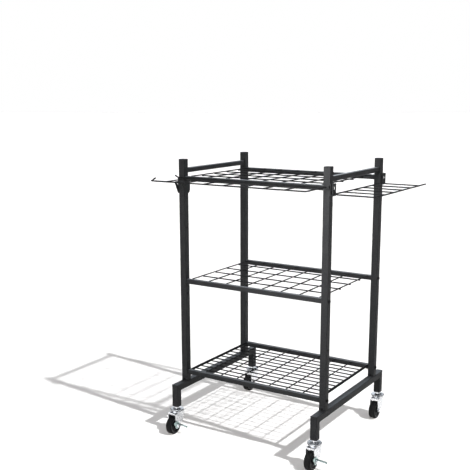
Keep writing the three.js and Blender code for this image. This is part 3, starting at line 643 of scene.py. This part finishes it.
def make_base_frames():
    """Each base frame: a tube rail mitred into two legs, with welded seams and spigots."""
    for side in SIDES:
        name = f"base_frame_{side}"
        low, high, centre = box_of(name)
        spigot_top = high.z
        rail_top = box_of(f"post_lower_front_{side}")[0].z - GAP
        origin = Vector((centre.x, 0, 0))
        legs = (low.y + POST_HALF, high.y - POST_HALF)
        bm = bmesh.new()
        add_mitred_tube(bm, legs, low.z, rail_top)
        for leg in legs:
            plug = rounded_square(POST_HALF - TUBE_WALL, POST_CORNER / 3)
            ring = [(STEM_BORE * u / math.hypot(u, v), STEM_BORE * v / math.hypot(u, v)) for u, v in plug]
            foot = Vector((0, leg, low.z + TUBE_EDGE))
            top = Vector((0, leg, low.z + LEG_PLATE))
            add_rings(bm, [placed(plug, foot, X, Y), placed(plug, top, X, Y), placed(ring, top, X, Y),
                           placed(ring, foot, X, Y)], wrap=True)
        for sign in (-1, 1):
            post = Vector((0, post_centre("front_left").y + HALF_SPAN_Y + sign * HALF_SPAN_Y, 0))
            add_tube(bm, post + Z * (rail_top - TUBE_WALL), post + Z * spigot_top, X, PLUG_HALF,
                     POST_CORNER - TUBE_WALL / 2)
            add_seam(bm, placed(rounded_square(PLUG_HALF, POST_CORNER), post + Z * rail_top, X, Y), SPIGOT_BEAD)
        look(name, bm, COAT, origin=origin)


def add_mitred_tube(bm, legs, foot, top):
    """A tube up one leg, along the rail and down the other leg, in the plane of Y and Z."""
    level = top - POST_HALF
    first, last = legs
    path = [
        (Vector((0, first, foot)), Y, TUBE_EDGE * Z),
        (Vector((0, first, level)), Y - Z, Vector()),
        (Vector((0, last, level)), -Y - Z, Vector()),
        (Vector((0, last, foot)), -Y, TUBE_EDGE * Z),
    ]
    outer = rounded_square(POST_HALF, POST_CORNER)
    broken = rounded_square(POST_HALF - TUBE_EDGE, POST_CORNER)
    inner = rounded_square(POST_HALF - TUBE_WALL, POST_CORNER / 3)
    rings = [placed(broken, path[0][0], X, path[0][1])]
    rings += [placed(outer, point + step, X, up) for point, up, step in path]
    rings.append(placed(broken, path[3][0], X, path[3][1]))
    rings += [placed(inner, point, X, up) for point, up, _ in reversed(path)]
    add_rings(bm, rings, wrap=True)
    for point, up, _ in path[1:3]:
        add_seam(bm, placed(outer, point, X, up), MITRE_BEAD)


# Wire grids

GRID_POKE = 4.5 * MM
GRID_ACROSS = 8
GRID_ALONG = 4
TRAY_ACROSS = 9
TRAY_ALONG = 11

# Welds at a wire's ends, as shares of the wire's radius and a length, and where two wires cross
END_WELD_WIDTH = 1.35
END_WELD_LENGTH = 1.1 * MM
END_WELD_HEIGHT = 0.9
END_WELD_DROP = 0.4
CROSS_WELD = (1.12 * WIRE_RADIUS, 1.12 * WIRE_RADIUS, 1.3 * MM)


def make_grid(name, across, along, end_radius):
    """Welded wires: those across run front to back, and those along run under them."""
    low, high, centre = box_of(name)
    reach_x = (high.x - low.x) / 2
    reach_y = (high.y - low.y) / 2
    last = reach_x - GRID_POKE
    top = high.z - centre.z
    level = top - WIRE_RADIUS
    under = level - 2 * WIRE_RADIUS + WELD_SINK
    bay = 2 * HALF_SPAN_Y / (along + 1)
    columns = [last * (2 * i / (across - 1) - 1) for i in range(across)]
    rows = [bay * (j - (along - 1) / 2) for j in range(along)]
    bm = bmesh.new()
    for i, x in enumerate(columns):
        radius = end_radius if i in (0, across - 1) else WIRE_RADIUS
        height = top - radius
        add_rod(bm, [(x, -reach_y, height), (x, reach_y, height)], radius)
        weld = (END_WELD_WIDTH * radius, END_WELD_LENGTH, END_WELD_HEIGHT * radius)
        for turn in (-1, 1):
            add_bead(bm, Vector((x, turn * reach_y, height - END_WELD_DROP * radius)), weld)
        for y in rows:
            add_bead(bm, Vector((x, y, (level + under) / 2)), CROSS_WELD)
    for y in rows:
        add_rod(bm, [(-reach_x, y, under), (reach_x, y, under)], WIRE_RADIUS)
    look(name, bm, WIRE, origin=centre)


# Wings

BEND_RADIUS = 9 * MM
BEND_STEPS = 10
TIP_RISE = 8 * MM
TIP_LENGTH = 16 * MM
RETURN_LENGTH = 32 * MM
RUNG_WELD = (2.9 * MM, 2.9 * MM, 2.3 * MM)
RUNG_WELD_INSET = 1.2 * MM
CORNER_WELD = (3.2 * MM, 3.2 * MM, 2.6 * MM)
FRONT_WING_PITCH = 86.5 * MM
FRONT_WING_BAYS = 7
SIDE_WING_PITCH = 88 * MM
SIDE_WING_BAYS = 5


def bend(x, y, start, end):
    """Points of a wing's bend round (x, y)."""
    return [(u, v, 0) for u, v in arc((x, y), BEND_RADIUS, start, end, BEND_STEPS)]


def add_rung(bm, start, end):
    """A cross wire with a weld at each end."""
    start, end = Vector(start), Vector(end)
    inward = (end - start).normalized() * RUNG_WELD_INSET
    add_rod(bm, [start, end], WIRE_RADIUS)
    for place in (start + inward, end - inward):
        add_bead(bm, place, RUNG_WELD)


def make_wing(name, origin, outer, inner, rungs):
    """Two rods that are welded at the origin, and the rungs between them."""
    bm = bmesh.new()
    add_rod(bm, outer, ROD_RADIUS, WING_ROD_SIDES)
    add_rod(bm, inner, ROD_RADIUS, WING_ROD_SIDES)
    add_bead(bm, Vector(), CORNER_WELD)
    for start, end in rungs:
        add_rung(bm, start, end)
    look(name, bm, WIRE, origin=origin)


def make_front_wing():
    """Its inner rod on y = 0 and its end rod on x = 0, reaching to -X and -Y."""
    low, high, _ = box_of("front_wing")
    post = post_centre("front_right")
    rod_y = post.y - POST_HALF - GAP - ROD_RADIUS
    level = low.z + ROD_RADIUS
    origin = Vector((post.x, rod_y, level))
    depth = rod_y - low.y - ROD_RADIUS
    length = post.x - low.x - ROD_RADIUS
    back = -depth + BEND_RADIUS
    outer = [(0, 0, 0)] + bend(-BEND_RADIUS, back, 0, -90)
    outer += bend(-length + BEND_RADIUS, back, -90, -180)
    outer.append((-length, -depth + RETURN_LENGTH, TIP_RISE))
    inner = [(high.x - post.x, 0, 0), (-length + TIP_LENGTH, 0, 0), (-length, 0, TIP_RISE)]
    places = [-bay * FRONT_WING_PITCH for bay in range(1, FRONT_WING_BAYS + 1)]
    make_wing("front_wing", origin, outer, inner, [((x, 0, 0), (x, -depth, 0)) for x in places])


def make_side_wing():
    """Its inner rod on x = 0 and its front rod on y = 0, reaching to +X and +Y."""
    low, high, _ = box_of("side_wing")
    post = post_centre("front_right")
    rod_x = low.x + ROD_RADIUS
    origin = Vector((rod_x, post.y, low.z + ROD_RADIUS))
    depth = high.x - rod_x - ROD_RADIUS
    length = high.y - post.y
    outer = [(0, 0, 0)] + bend(depth - BEND_RADIUS, BEND_RADIUS, -90, 0) + [(depth, length, 0)]
    inner = [(0, -POST_HALF, 0), (0, 2 * HALF_SPAN_Y + POST_HALF, 0)]
    places = [bay * SIDE_WING_PITCH for bay in range(1, SIDE_WING_BAYS + 1)]
    make_wing("side_wing", origin, outer, inner, [((0, y, 0), (depth, y, 0)) for y in places])


PLATE_EDGE = 0.5 * MM
FLAT_WITHIN = math.radians(1)


def make_brackets():
    """The wings' saddle, strap and hooks: the plates of the model with their edges broken."""
    names = [f"front_wing_bracket_{side}" for side in SIDES] + [f"side_wing_hook_{end}" for end in ENDS]
    for name in names:
        bm = bmesh.new()
        bm.from_mesh(frame["nodes"][name].data)
        bmesh.ops.remove_doubles(bm, verts=bm.verts, dist=MERGE)
        bmesh.ops.dissolve_limit(bm, angle_limit=FLAT_WITHIN, verts=bm.verts, edges=bm.edges)
        soften(bm, PLATE_EDGE)
        look(name, bm, COAT)


# Casters

CASTER_SIDES = 72
WHEEL_SIDES = 96

# Kingpin's head, as (radius, height above its foot), and collar, domed upper race and the dark ring of painted
# shade in the race gap, as (radius, depth below the leg), all in millimetres
KINGPIN_HEAD = ((1, 0), (6.5, 0), (8.4, 0.6), (9, 1.6), (9, 2.7), (8.6, 3), (6, 3))
UPPER_RACE = (
    (6, 16), (23.8, 16), (24.2, 13.7), (27.4, 13.7), (28.3, 13.3), (28.5, 12.6), (28.2, 11.8), (27.2, 11.1),
    (24.6, 10.5), (21.6, 10.3), (20.6, 10.6), (19.4, 10.8), (18.4, 10.3), (17.2, 9.4), (15, 8.9), (12.4, 8.6),
    (11.2, 7.8), (10.6, 6.6), (10.5, 1.2), (10.1, 0.4), (9.6, 0.3), (6, 0.3),
)
STEM_TOP = ((6, 1), (5.2, 0), (1, 0))
RACE_GAP_SHADE_RING = ((24.3, 13.8), (26.6, 13.8), (27, 14.2), (27, 15.6), (26.6, 16), (24.3, 16))

# Fork: a lipped plate and two legs of bent sheet, with the lower race on top
FORK_OUTER = 19.3 * MM
FORK_SHEET = 2.5 * MM
FORK_BEND = 5 * MM
FORK_EYE = 8.5 * MM
FORK_LENGTH = 63 * MM
FORK_HEEL_DROP = 15 * MM
FORK_KNEE = Vector((40, 9)) * MM
FORK_ROUND = 7 * MM
FORK_EDGE = 0.5 * MM
FORK_LIP_HEIGHT = 5.4 * MM
FORK_LIP_BEND = 3 * MM
FORK_LIP_LAP = 9 * MM
FORK_LIP_SINK = 0.05 * MM
FORK_LIP_INSET = 2.2 * MM
FORK_PLATE_RISE = 6.3 * MM
PLATE_SHEET = 3 * MM
OUTLINE_SPARE = 9 * MM
LEG_STEPS = (0.004, 0.02, 0.05, 0.09, 0.14, 0.2, 0.26, 0.33, 0.4, 0.48, 0.56, 0.64, 0.72, 0.8, 0.88, 0.94, 1)
SHEET_ANGLE = 40

# Lower race, in millimetres: (radius, height above the plate), then (radius, depth below its top)
RACE_FOOT = ((17.6, -1), (24.9, -1), (25.6, 0.2), (25.7, 1.2), (26.5, 2))
RACE_TOP = ((26.5, 0.9), (25.8, 0), (18, 0), (17.6, 0.4))

# Wheel, in millimetres: the tread as (depth below the tyre's radius, x), the rest as (radius, x)
TREAD = ((5.4, 12.2), (4.6, 13.5), (3.4, 13.2), (2.2, 12.5), (1.1, 11.3), (0.45, 9.9), (0.1, 8.2), (0, 6), (0, 2))
# The sidewall ring below carries the painted highlight in its colour
SIDEWALL_RING = ((26.4, 11), (26.7, 12.8), (28, 13.2), (28.6, 13.9), (29.2, 14), (31, 14), (31.7, 13.8),
                 (32.2, 13.2), (32.4, 12))
WHEEL_CORE = ((4.3, 16.5), (5, 16.5), (10.3, 16.5), (11, 15.8), (11.4, 11.2), (12.6, 10.2), (22.6, 10.2),
              (24, 10.8), (25, 11.8), (26.2, 12.2), (27.2, 12.2), (31.8, 11.4))
SPOKES = 6
SPOKE_RADIUS = 1.3 * MM
SPOKE_START = 10.5 * MM
SPOKE_LENGTH = 14 * MM
SPOKE_OFFSET = 10.3 * MM
WHEEL_ANGLE = 50

# Axle: a bolt with its head on the left, and a washer and a nut on the right
AXLE_RADIUS = 4 * MM
AXLE_CORE = 0.6 * MM
SHANK_START = 4 * MM
AXLE_TIP_RADIUS = 3.2 * MM
AXLE_TIP = 0.8 * MM
HEAD_BACK = 5 * MM
NUT_WIDTH = 12.6 * MM
NUT_HEIGHT = 3.4 * MM
NUT_SET = 4.2 * MM
HEX_ROUND = 1.01
HEX_CHAMFER = 0.16
# Washer, in millimetres: radius, and distance from the axle's right end
WASHER = ((4, 5), (7.6, 5), (7.8, 4.6), (7.6, 4.2), (4, 4.2))

# Brake lever: a plate on the axle with a bent foot tab
BRAKE_SHEET = 2.5 * MM
BRAKE_EDGE = 0.4 * MM
BRAKE_ROUND = 3.2 * MM
HEEL_FOOT = 0.1
SHOULDER_SHARE = 0.25
TOE_SHARE = 0.5
TAB_WIDTH = 9 * MM
TAB_DROP = 3 * MM
TAB_RISE = 4 * MM
TAB_SHEET = 2.1 * MM
TAB_LIP = 2.2 * MM
TAB_LIP_HEIGHT = 5 * MM
TAB_LIP_CROWN = 0.3 * MM
TAB_EDGE = 0.35 * MM
# How much narrower each end of the tab gets at its tip, on the lip's bend and at the lip's foot
TAB_TAPERS = (0.5 * MM, 0.8 * MM, 1.2 * MM)
TAB_BEND_ANGLES = (70, 52, 35, 17, 0)


def in_metres(profile, base=0.0, way=1):
    """A profile of (radius, height) points in millimetres, from a base height on, or down with way -1."""
    return [(radius * MM, base + way * height * MM) for radius, height in profile]


def make_casters():
    """Stem, fork, wheel and axle on each leg, and a brake on the two front ones."""
    for corner in CORNERS:
        stem_low, stem_high, stem = box_of(f"caster_stem_{corner}")
        axle = box_of(f"caster_wheel_{corner}")[2]
        pivot = Vector((stem.x, stem.y, 0))
        make_caster_stem(corner, pivot, stem_low.z, stem_high.z)
        make_caster_fork(corner, pivot, axle)
        make_wheel(corner, axle)
        make_axle(corner, axle)
        if corner.startswith("front"):
            make_brake(corner, axle)


def make_caster_stem(corner, pivot, low, high):
    """Collar, domed upper race and kingpin in one turned piece, with a dark ring of painted shade in the gap under
    the race.
    """
    foot = box_of(f"base_frame_{'left' if 'left' in corner else 'right'}")[0].z
    profile = in_metres(KINGPIN_HEAD, low) + in_metres(UPPER_RACE, foot, -1) + in_metres(STEM_TOP, high, -1)
    bm = bmesh.new()
    add_turned(bm, profile, Vector(), Z, X, CASTER_SIDES)
    node = f"caster_stem_{corner}"
    look(node, bm, ZINC, origin=pivot, smooth=SHEET_ANGLE)
    # Painted shade: a dark ring in the gap under the race
    bm = bmesh.new()
    add_turned(bm, in_metres(RACE_GAP_SHADE_RING, foot, -1), Vector(), Z, X, CASTER_SIDES, wrap=True)
    piece(f"caster_cage_{corner}", mesh_of("race_gap_shade", bm), RACE_GAP_SHADE, "root", [node], origin=pivot)


def span_at(outline, height):
    """First and last u of a closed (u, v) outline at a height v."""
    crossings = []
    for (u1, v1), (u2, v2) in zip(outline, outline[1:] + outline[:1]):
        if (v1 - height) * (v2 - height) <= 0 and v1 != v2:
            crossings.append(u1 + (u2 - u1) * (height - v1) / (v2 - v1))
    return min(crossings), max(crossings)


def make_caster_fork(corner, pivot, axle):
    """Lower race on a lipped plate that bends down into two tapering legs."""
    low, high, _ = box_of(f"caster_fork_{corner}")
    plate_top = box_of(f"caster_stem_{corner}")[0].z + FORK_PLATE_RISE
    plate_foot = plate_top - PLATE_SHEET
    lip = low.y - pivot.y
    heel = lip + FORK_LENGTH
    eye = Vector((axle.y - pivot.y, axle.z))
    knee = eye + FORK_KNEE
    above = plate_top + OUTLINE_SPARE
    outline = [(heel, plate_foot - FORK_HEEL_DROP), (heel, above), (lip, above), (eye.x - FORK_EYE, eye.y + FORK_EYE)]
    outline += arc(eye, FORK_EYE, 180, 286, 10) + [tuple(knee)]
    outline = filleted(outline, FORK_ROUND)
    foot = min(v for u, v in outline)
    bend_foot = plate_top - FORK_BEND
    levels = [foot + (bend_foot - foot) * step for step in LEG_STEPS]
    leg = [(FORK_OUTER, level, 0, *span_at(outline, level)) for level in levels]
    turn = [(x, z, a, lip, heel) for (x, z), a in
            zip(arc((FORK_OUTER - FORK_BEND, bend_foot), FORK_BEND, 15, 90, 5), range(15, 91, 15))]
    right = leg + turn
    left = [(-x, z, 180 - a, first, last) for x, z, a, first, last in reversed(right)]
    bm = bmesh.new()
    add_strip(bm, right + left, FORK_SHEET, lambda x, y, z: (x, y, z))
    crest = plate_top - FORK_LIP_SINK
    front = [(-lip - FORK_LIP_LAP, crest, 90)]
    front += [(u, v, a) for (u, v), a in
              zip(arc((-lip - FORK_LIP_BEND, crest - FORK_LIP_BEND), FORK_LIP_BEND, 90, 0, 5), range(90, -1, -18))]
    front.append((-lip, plate_top - FORK_LIP_HEIGHT, 0))
    reach = FORK_OUTER - FORK_LIP_INSET
    add_strip(bm, [(u, v, a, -reach, reach) for u, v, a in front], FORK_SHEET, lambda u, x, z: (x, -u, z))
    soften(bm, FORK_EDGE, angle=SHEET_ANGLE)
    race = in_metres(RACE_FOOT, plate_top) + in_metres(RACE_TOP, high.z, -1)
    add_turned(bm, race, Vector(), Z, X, CASTER_SIDES, wrap=True)
    look(f"caster_fork_{corner}", bm, ZINC, f"swivel_{corner}", origin=pivot, smooth=SHEET_ANGLE)


def both_sides(profile):
    """A profile of (radius, x) points in millimetres on the right half, and its mirror image."""
    return in_metres(profile) + in_metres(reversed(profile), way=-1)


def make_wheel(corner, axle):
    """A rounded rubber tyre with a smooth sidewall ring lightened as a painted highlight, on a moulded core with a
    recessed web and a hub.
    """
    body = f"wheel_{corner}"
    node = [f"caster_wheel_{corner}"]
    radius = axle.z / MM
    bm = bmesh.new()
    add_turned(bm, both_sides([(radius - depth, x) for depth, x in TREAD]), Vector(), X, Y, WHEEL_SIDES, wrap=True)
    piece(f"wheel_tyre_{corner}", mesh_of("tyre", bm), RUBBER, body, node, origin=axle, smooth=WHEEL_ANGLE)
    bm = bmesh.new()
    for turn in (-1, 1):
        add_turned(bm, in_metres(SIDEWALL_RING, way=turn), Vector(), X, Y, WHEEL_SIDES, wrap=True)
    # The sidewall ring's lighter colour is a painted highlight
    piece(f"wheel_sidewall_{corner}", mesh_of("sidewall", bm), SIDEWALL_HIGHLIGHT, body, node, origin=axle, smooth=WHEEL_ANGLE)
    bm = bmesh.new()
    add_turned(bm, both_sides(WHEEL_CORE), Vector(), X, Y, WHEEL_SIDES, wrap=True)
    for turn in (-1, 1):
        for spoke in range(SPOKES):
            angle = 2 * math.pi / SPOKES * spoke
            way = Vector((0, math.cos(angle), math.sin(angle)))
            start = way * SPOKE_START + X * turn * SPOKE_OFFSET
            add_rod(bm, [start, start + way * SPOKE_LENGTH], SPOKE_RADIUS, 10)
    piece(f"wheel_core_{corner}", mesh_of("core", bm), CORE, body, node, origin=axle, smooth=WHEEL_ANGLE)


def add_hex(bm, foot, axis, width, height):
    """A hex nut or head with its corners chamfered top and bottom."""
    side = axis.orthogonal().normalized()
    up = axis.cross(side)
    corner = width / 2 / math.cos(math.pi / 6)
    trim = width / 2 * HEX_ROUND
    rings = [
        placed(hexagon(width, trim), foot, side, up),
        placed(hexagon(width, corner), foot + axis * height * HEX_CHAMFER, side, up),
        placed(hexagon(width, corner), foot + axis * height * (1 - HEX_CHAMFER), side, up),
        placed(hexagon(width, trim), foot + axis * height, side, up),
    ]
    add_rings(bm, rings)


def make_axle(corner, axle):
    """The axle bolt: a hex head on one side, and a washer, a nut and the thread's end on the other."""
    low, high, _ = box_of(f"caster_axle_{corner}")
    left = low.x - axle.x
    right = high.x - axle.x
    start = left + SHANK_START
    bm = bmesh.new()
    add_turned(bm, [(AXLE_CORE, start), (AXLE_RADIUS, start), (AXLE_RADIUS, right - AXLE_TIP),
                    (AXLE_TIP_RADIUS, right), (AXLE_CORE, right)], Vector(), X, Y, 32)
    add_hex(bm, X * (left + HEAD_BACK), -X, NUT_WIDTH, HEAD_BACK)
    add_hex(bm, X * (right - NUT_SET), X, NUT_WIDTH, NUT_HEIGHT)
    add_turned(bm, in_metres(WASHER, right, -1), Vector(), X, Y, 40, wrap=True)
    look(f"caster_axle_{corner}", bm, ZINC, f"swivel_{corner}", origin=axle)


def make_brake(corner, axle):
    """A stamped side lever: a plate on the axle and a foot tab that stands out behind it."""
    name = f"brake_lever_{corner}"
    low, high, _ = box_of(name)
    inner = low.x - axle.x
    outer = inner + BRAKE_SHEET
    middle = (inner + outer) / 2
    tip = high.x - axle.x
    heel = high.y - axle.y
    toe = low.y - axle.y
    toe_rise = high.z - axle.z
    foot = axle.z - low.z
    outline = arc((0, 0), foot, -180, -20, 12)
    outline += [(heel, -HEEL_FOOT * foot), (heel, TAB_RISE), (SHOULDER_SHARE * heel, toe_rise), (toe, toe_rise),
                (toe, TOE_SHARE * toe_rise)]
    bm = bmesh.new()
    add_plate(bm, filleted(outline, BRAKE_ROUND, 4), BRAKE_SHEET, BRAKE_EDGE, lambda u, v, w: (middle + w, u, v))
    lean = 90 - math.degrees(math.atan2(TAB_DROP, tip - outer))
    first, last = heel - TAB_WIDTH, heel
    crest = TAB_RISE - TAB_DROP
    tip_taper, bend_taper, foot_taper = TAB_TAPERS
    stations = [(inner + BRAKE_EDGE, TAB_RISE, lean, first, last),
                (tip - TAB_LIP, crest + TAB_LIP_CROWN, lean, first + tip_taper, last - tip_taper)]
    stations += [(x, z, a, first + bend_taper, last - bend_taper) for (x, z), a in
                 zip(arc((tip - TAB_LIP, crest - TAB_LIP), TAB_LIP, 70, 0, 4), TAB_BEND_ANGLES)]
    stations.append((tip, crest - TAB_LIP_HEIGHT, 0, first + foot_taper, last - foot_taper))
    tab = bmesh.new()
    add_strip(tab, stations, TAB_SHEET, lambda x, y, z: (x, y, z))
    soften(tab, TAB_EDGE, angle=SHEET_ANGLE)
    bm.from_mesh(mesh_of("tab", tab))
    look(name, bm, LEVER, f"brake_{corner}", origin=axle, smooth=SHEET_ANGLE)


# Stage, lights and camera

FLOOR_REACH = 60.0
FLOOR_COLOUR = (0.80, 0.795, 0.79)
BACKDROP_RADIUS = 55.0
STAGE_NOISE = (3, 8)
STAGE_SHADE = 0.985
STAGE_ROUGHNESS = (0.85, 0.95)
WORLD_BELOW = (0.07, 0.07, 0.07)
WORLD_ABOVE = (0.33, 0.35, 0.38)
WORLD_TOP = 0.9
SUN_WAY = (0.993, -0.115)
SUN_ELEVATION = 50
SPOT_SOFTNESS = 0.3
PANEL_TARGET = (0, 0, 0.6)
CAMERA_PLACE = (1.5690, -2.8824, 1.4055)
CAMERA_AZIMUTH = 31.96
CAMERA_ELEVATION = 11.88
CAMERA_LENS = 62.9
CAMERA_SENSOR = 36
CAMERA_SHIFT = (-0.0213, 0.0638)
CAMERA_FAR = 200
VIEW_GAMMA = 0.8


def stage_piece(name, surface, bm, colour, emission=0.0):
    """A faintly uneven matte surface, or a glowing one, that throws no light back on the rack."""
    made = Finish(surface, specular=0.0)
    drift, grain = STAGE_NOISE
    made.colour(made.noise(drift), colour, tuple(c * STAGE_SHADE for c in colour))
    made.roughness(made.noise(grain), *STAGE_ROUGHNESS)
    if emission:
        made.shader.inputs["Emission Color"].default_value = (1, 1, 1, 1)
        made.shader.inputs["Emission Strength"].default_value = emission
    item = linked(name, mesh_of(name, bm))
    item.data.materials.append(made.material)
    item.visible_diffuse = False
    return item


def make_stage():
    """The floor, and a white dome that only the camera sees."""
    bm = bmesh.new()
    bmesh.ops.create_grid(bm, x_segments=1, y_segments=1, size=FLOOR_REACH)
    floor = stage_piece("floor", "pale floor", bm, FLOOR_COLOUR)
    bm = bmesh.new()
    bmesh.ops.create_icosphere(bm, subdivisions=4, radius=BACKDROP_RADIUS)
    backdrop = stage_piece("backdrop", "white backdrop", bm, (0, 0, 0), emission=1.0)
    backdrop.visible_glossy = False
    backdrop.visible_transmission = False
    backdrop.visible_shadow = False
    return floor


def make_world():
    """Soft studio air: bright above, dimmer at the sides and below."""
    world = bpy.data.worlds.new("studio")
    bpy.context.scene.world = world
    world.use_nodes = True
    tree = world.node_tree
    place = tree.nodes.new("ShaderNodeTexCoord")
    split = tree.nodes.new("ShaderNodeSeparateXYZ")
    ramp = tree.nodes.new("ShaderNodeValToRGB")
    below, above = ramp.color_ramp.elements
    below.position, above.position = 0.0, WORLD_TOP
    below.color, above.color = (*WORLD_BELOW, 1), (*WORLD_ABOVE, 1)
    tree.links.new(place.outputs["Generated"], split.inputs["Vector"])
    tree.links.new(split.outputs["Z"], ramp.inputs["Fac"])
    tree.links.new(ramp.outputs["Color"], tree.nodes["Background"].inputs["Color"])
    tree.nodes["Background"].inputs["Strength"].default_value = 1.0


def add_light(name, kind, power, receivers, place, target, colour=(1, 1, 1)):
    """A light for what a collection names, that the camera doesn't see."""
    data = bpy.data.lights.new(name, kind)
    data.energy = power
    data.color = colour
    item = linked(name, data)
    item.location = place
    item.rotation_euler = (Vector(target) - Vector(place)).to_track_quat("-Z", "Y").to_euler()
    item.light_linking.receiver_collection = receivers
    item.visible_camera = False
    return data


def softbox(name, place, size, power, receivers, colour):
    """A square panel of light that faces the rack."""
    data = add_light(name, "AREA", power, receivers, place, PANEL_TARGET, colour)
    data.shape = "SQUARE"
    data.size = size


def spot(name, place, target, power, cone, receivers):
    """A soft round pool of light."""
    data = add_light(name, "SPOT", power, receivers, place, target)
    data.spot_size = math.radians(cone)
    data.spot_blend = 1.0
    data.shadow_soft_size = SPOT_SOFTNESS


def far_light(name, way, elevation, strength, softness, receivers, colour=(1, 1, 1), shadow=True):
    """A light from far away in one direction."""
    rise = math.tan(math.radians(elevation)) * math.hypot(*way)
    data = add_light(name, "SUN", strength, receivers, (*way, rise), (0, 0, 0), colour)
    data.angle = math.radians(softness)
    data.use_shadow = shadow


def made_of(name, *finishes):
    """A collection of the pieces that have one of these finishes."""
    chosen = bpy.data.collections.new(name)
    materials = {material for _, material in finishes}
    for item in bpy.data.objects:
        if item.type == "MESH" and materials & set(item.data.materials):
            chosen.objects.link(item)
    return chosen


def make_lights(floor):
    """Two far lights for the floor alone, panels and a pool for the rack, and some for one finish alone."""
    floor_alone = bpy.data.collections.new("floor alone")
    floor_alone.objects.link(floor)
    all_but_floor = bpy.data.collections.new("all but the floor")
    all_but_floor.objects.link(floor)
    all_but_floor.collection_objects[0].light_linking.link_state = "EXCLUDE"
    bright_metal = made_of("bright metal", ZINC, LEVER)
    tubes = made_of("tubes", COAT)
    far_light("floor sun", SUN_WAY, SUN_ELEVATION, strength=3.1, softness=1.4, receivers=floor_alone)
    far_light("floor fill", (0, -1), elevation=80, strength=1.5, softness=20, receivers=floor_alone,
              colour=(1.0, 0.965, 0.93), shadow=False)
    spot("corner key", (0.4, -1.15, 1.8), (0.25, -0.19, 0.9), power=125, cone=56, receivers=all_but_floor)
    # Name, place, size, power in watts, what it lights, and colour
    for panel in (
        ("front panel", (-0.5, -2.6, 1.3), 1.8, 26, all_but_floor, (1, 1, 1)),
        ("overhead", (0.3, -0.2, 3.4), 2.2, 30, all_but_floor, (0.92, 0.96, 1.0)),
        ("back panel", (-1.7, 2.7, 1.1), 2.6, 19, all_but_floor, (0.90, 0.95, 1.0)),
        ("rail sheen", (-0.3, 0.9, 3.2), 1.2, 190, tubes, (0.88, 0.94, 1.0)),
        ("metal front", (-1.2, -2.2, 0.9), 2.0, 13, bright_metal, (1, 1, 1)),
        ("metal right", (2.6, 0.6, 0.9), 2.0, 13, bright_metal, (1, 1, 1)),
    ):
        softbox(*panel)


def make_camera():
    """The camera that was fitted to the reference view."""
    data = bpy.data.cameras.new("camera")
    data.lens = CAMERA_LENS
    data.sensor_width = CAMERA_SENSOR
    data.shift_x, data.shift_y = CAMERA_SHIFT
    data.clip_end = CAMERA_FAR
    item = linked("camera", data)
    azimuth = math.radians(CAMERA_AZIMUTH)
    elevation = math.radians(CAMERA_ELEVATION)
    level = math.cos(elevation)
    back = Vector((math.sin(azimuth) * level, -math.cos(azimuth) * level, math.sin(elevation)))
    item.location = CAMERA_PLACE
    item.rotation_euler = back.to_track_quat("Z", "Y").to_euler()
    bpy.context.scene.camera = item


make_posts()
make_rails()
make_base_frames()
make_bolts()
make_grid("top_grid", GRID_ACROSS, GRID_ALONG, WIRE_RADIUS)
make_grid("middle_grid", GRID_ACROSS, GRID_ALONG, WIRE_RADIUS)
make_grid("bottom_grid", TRAY_ACROSS, TRAY_ALONG, TRAY_ROD_RADIUS)
make_front_wing()
make_side_wing()
make_brackets()
make_casters()
make_lights(make_stage())
make_world()
make_camera()
bpy.context.scene.view_settings.view_transform = "Standard"
bpy.context.scene.view_settings.gamma = VIEW_GAMMA
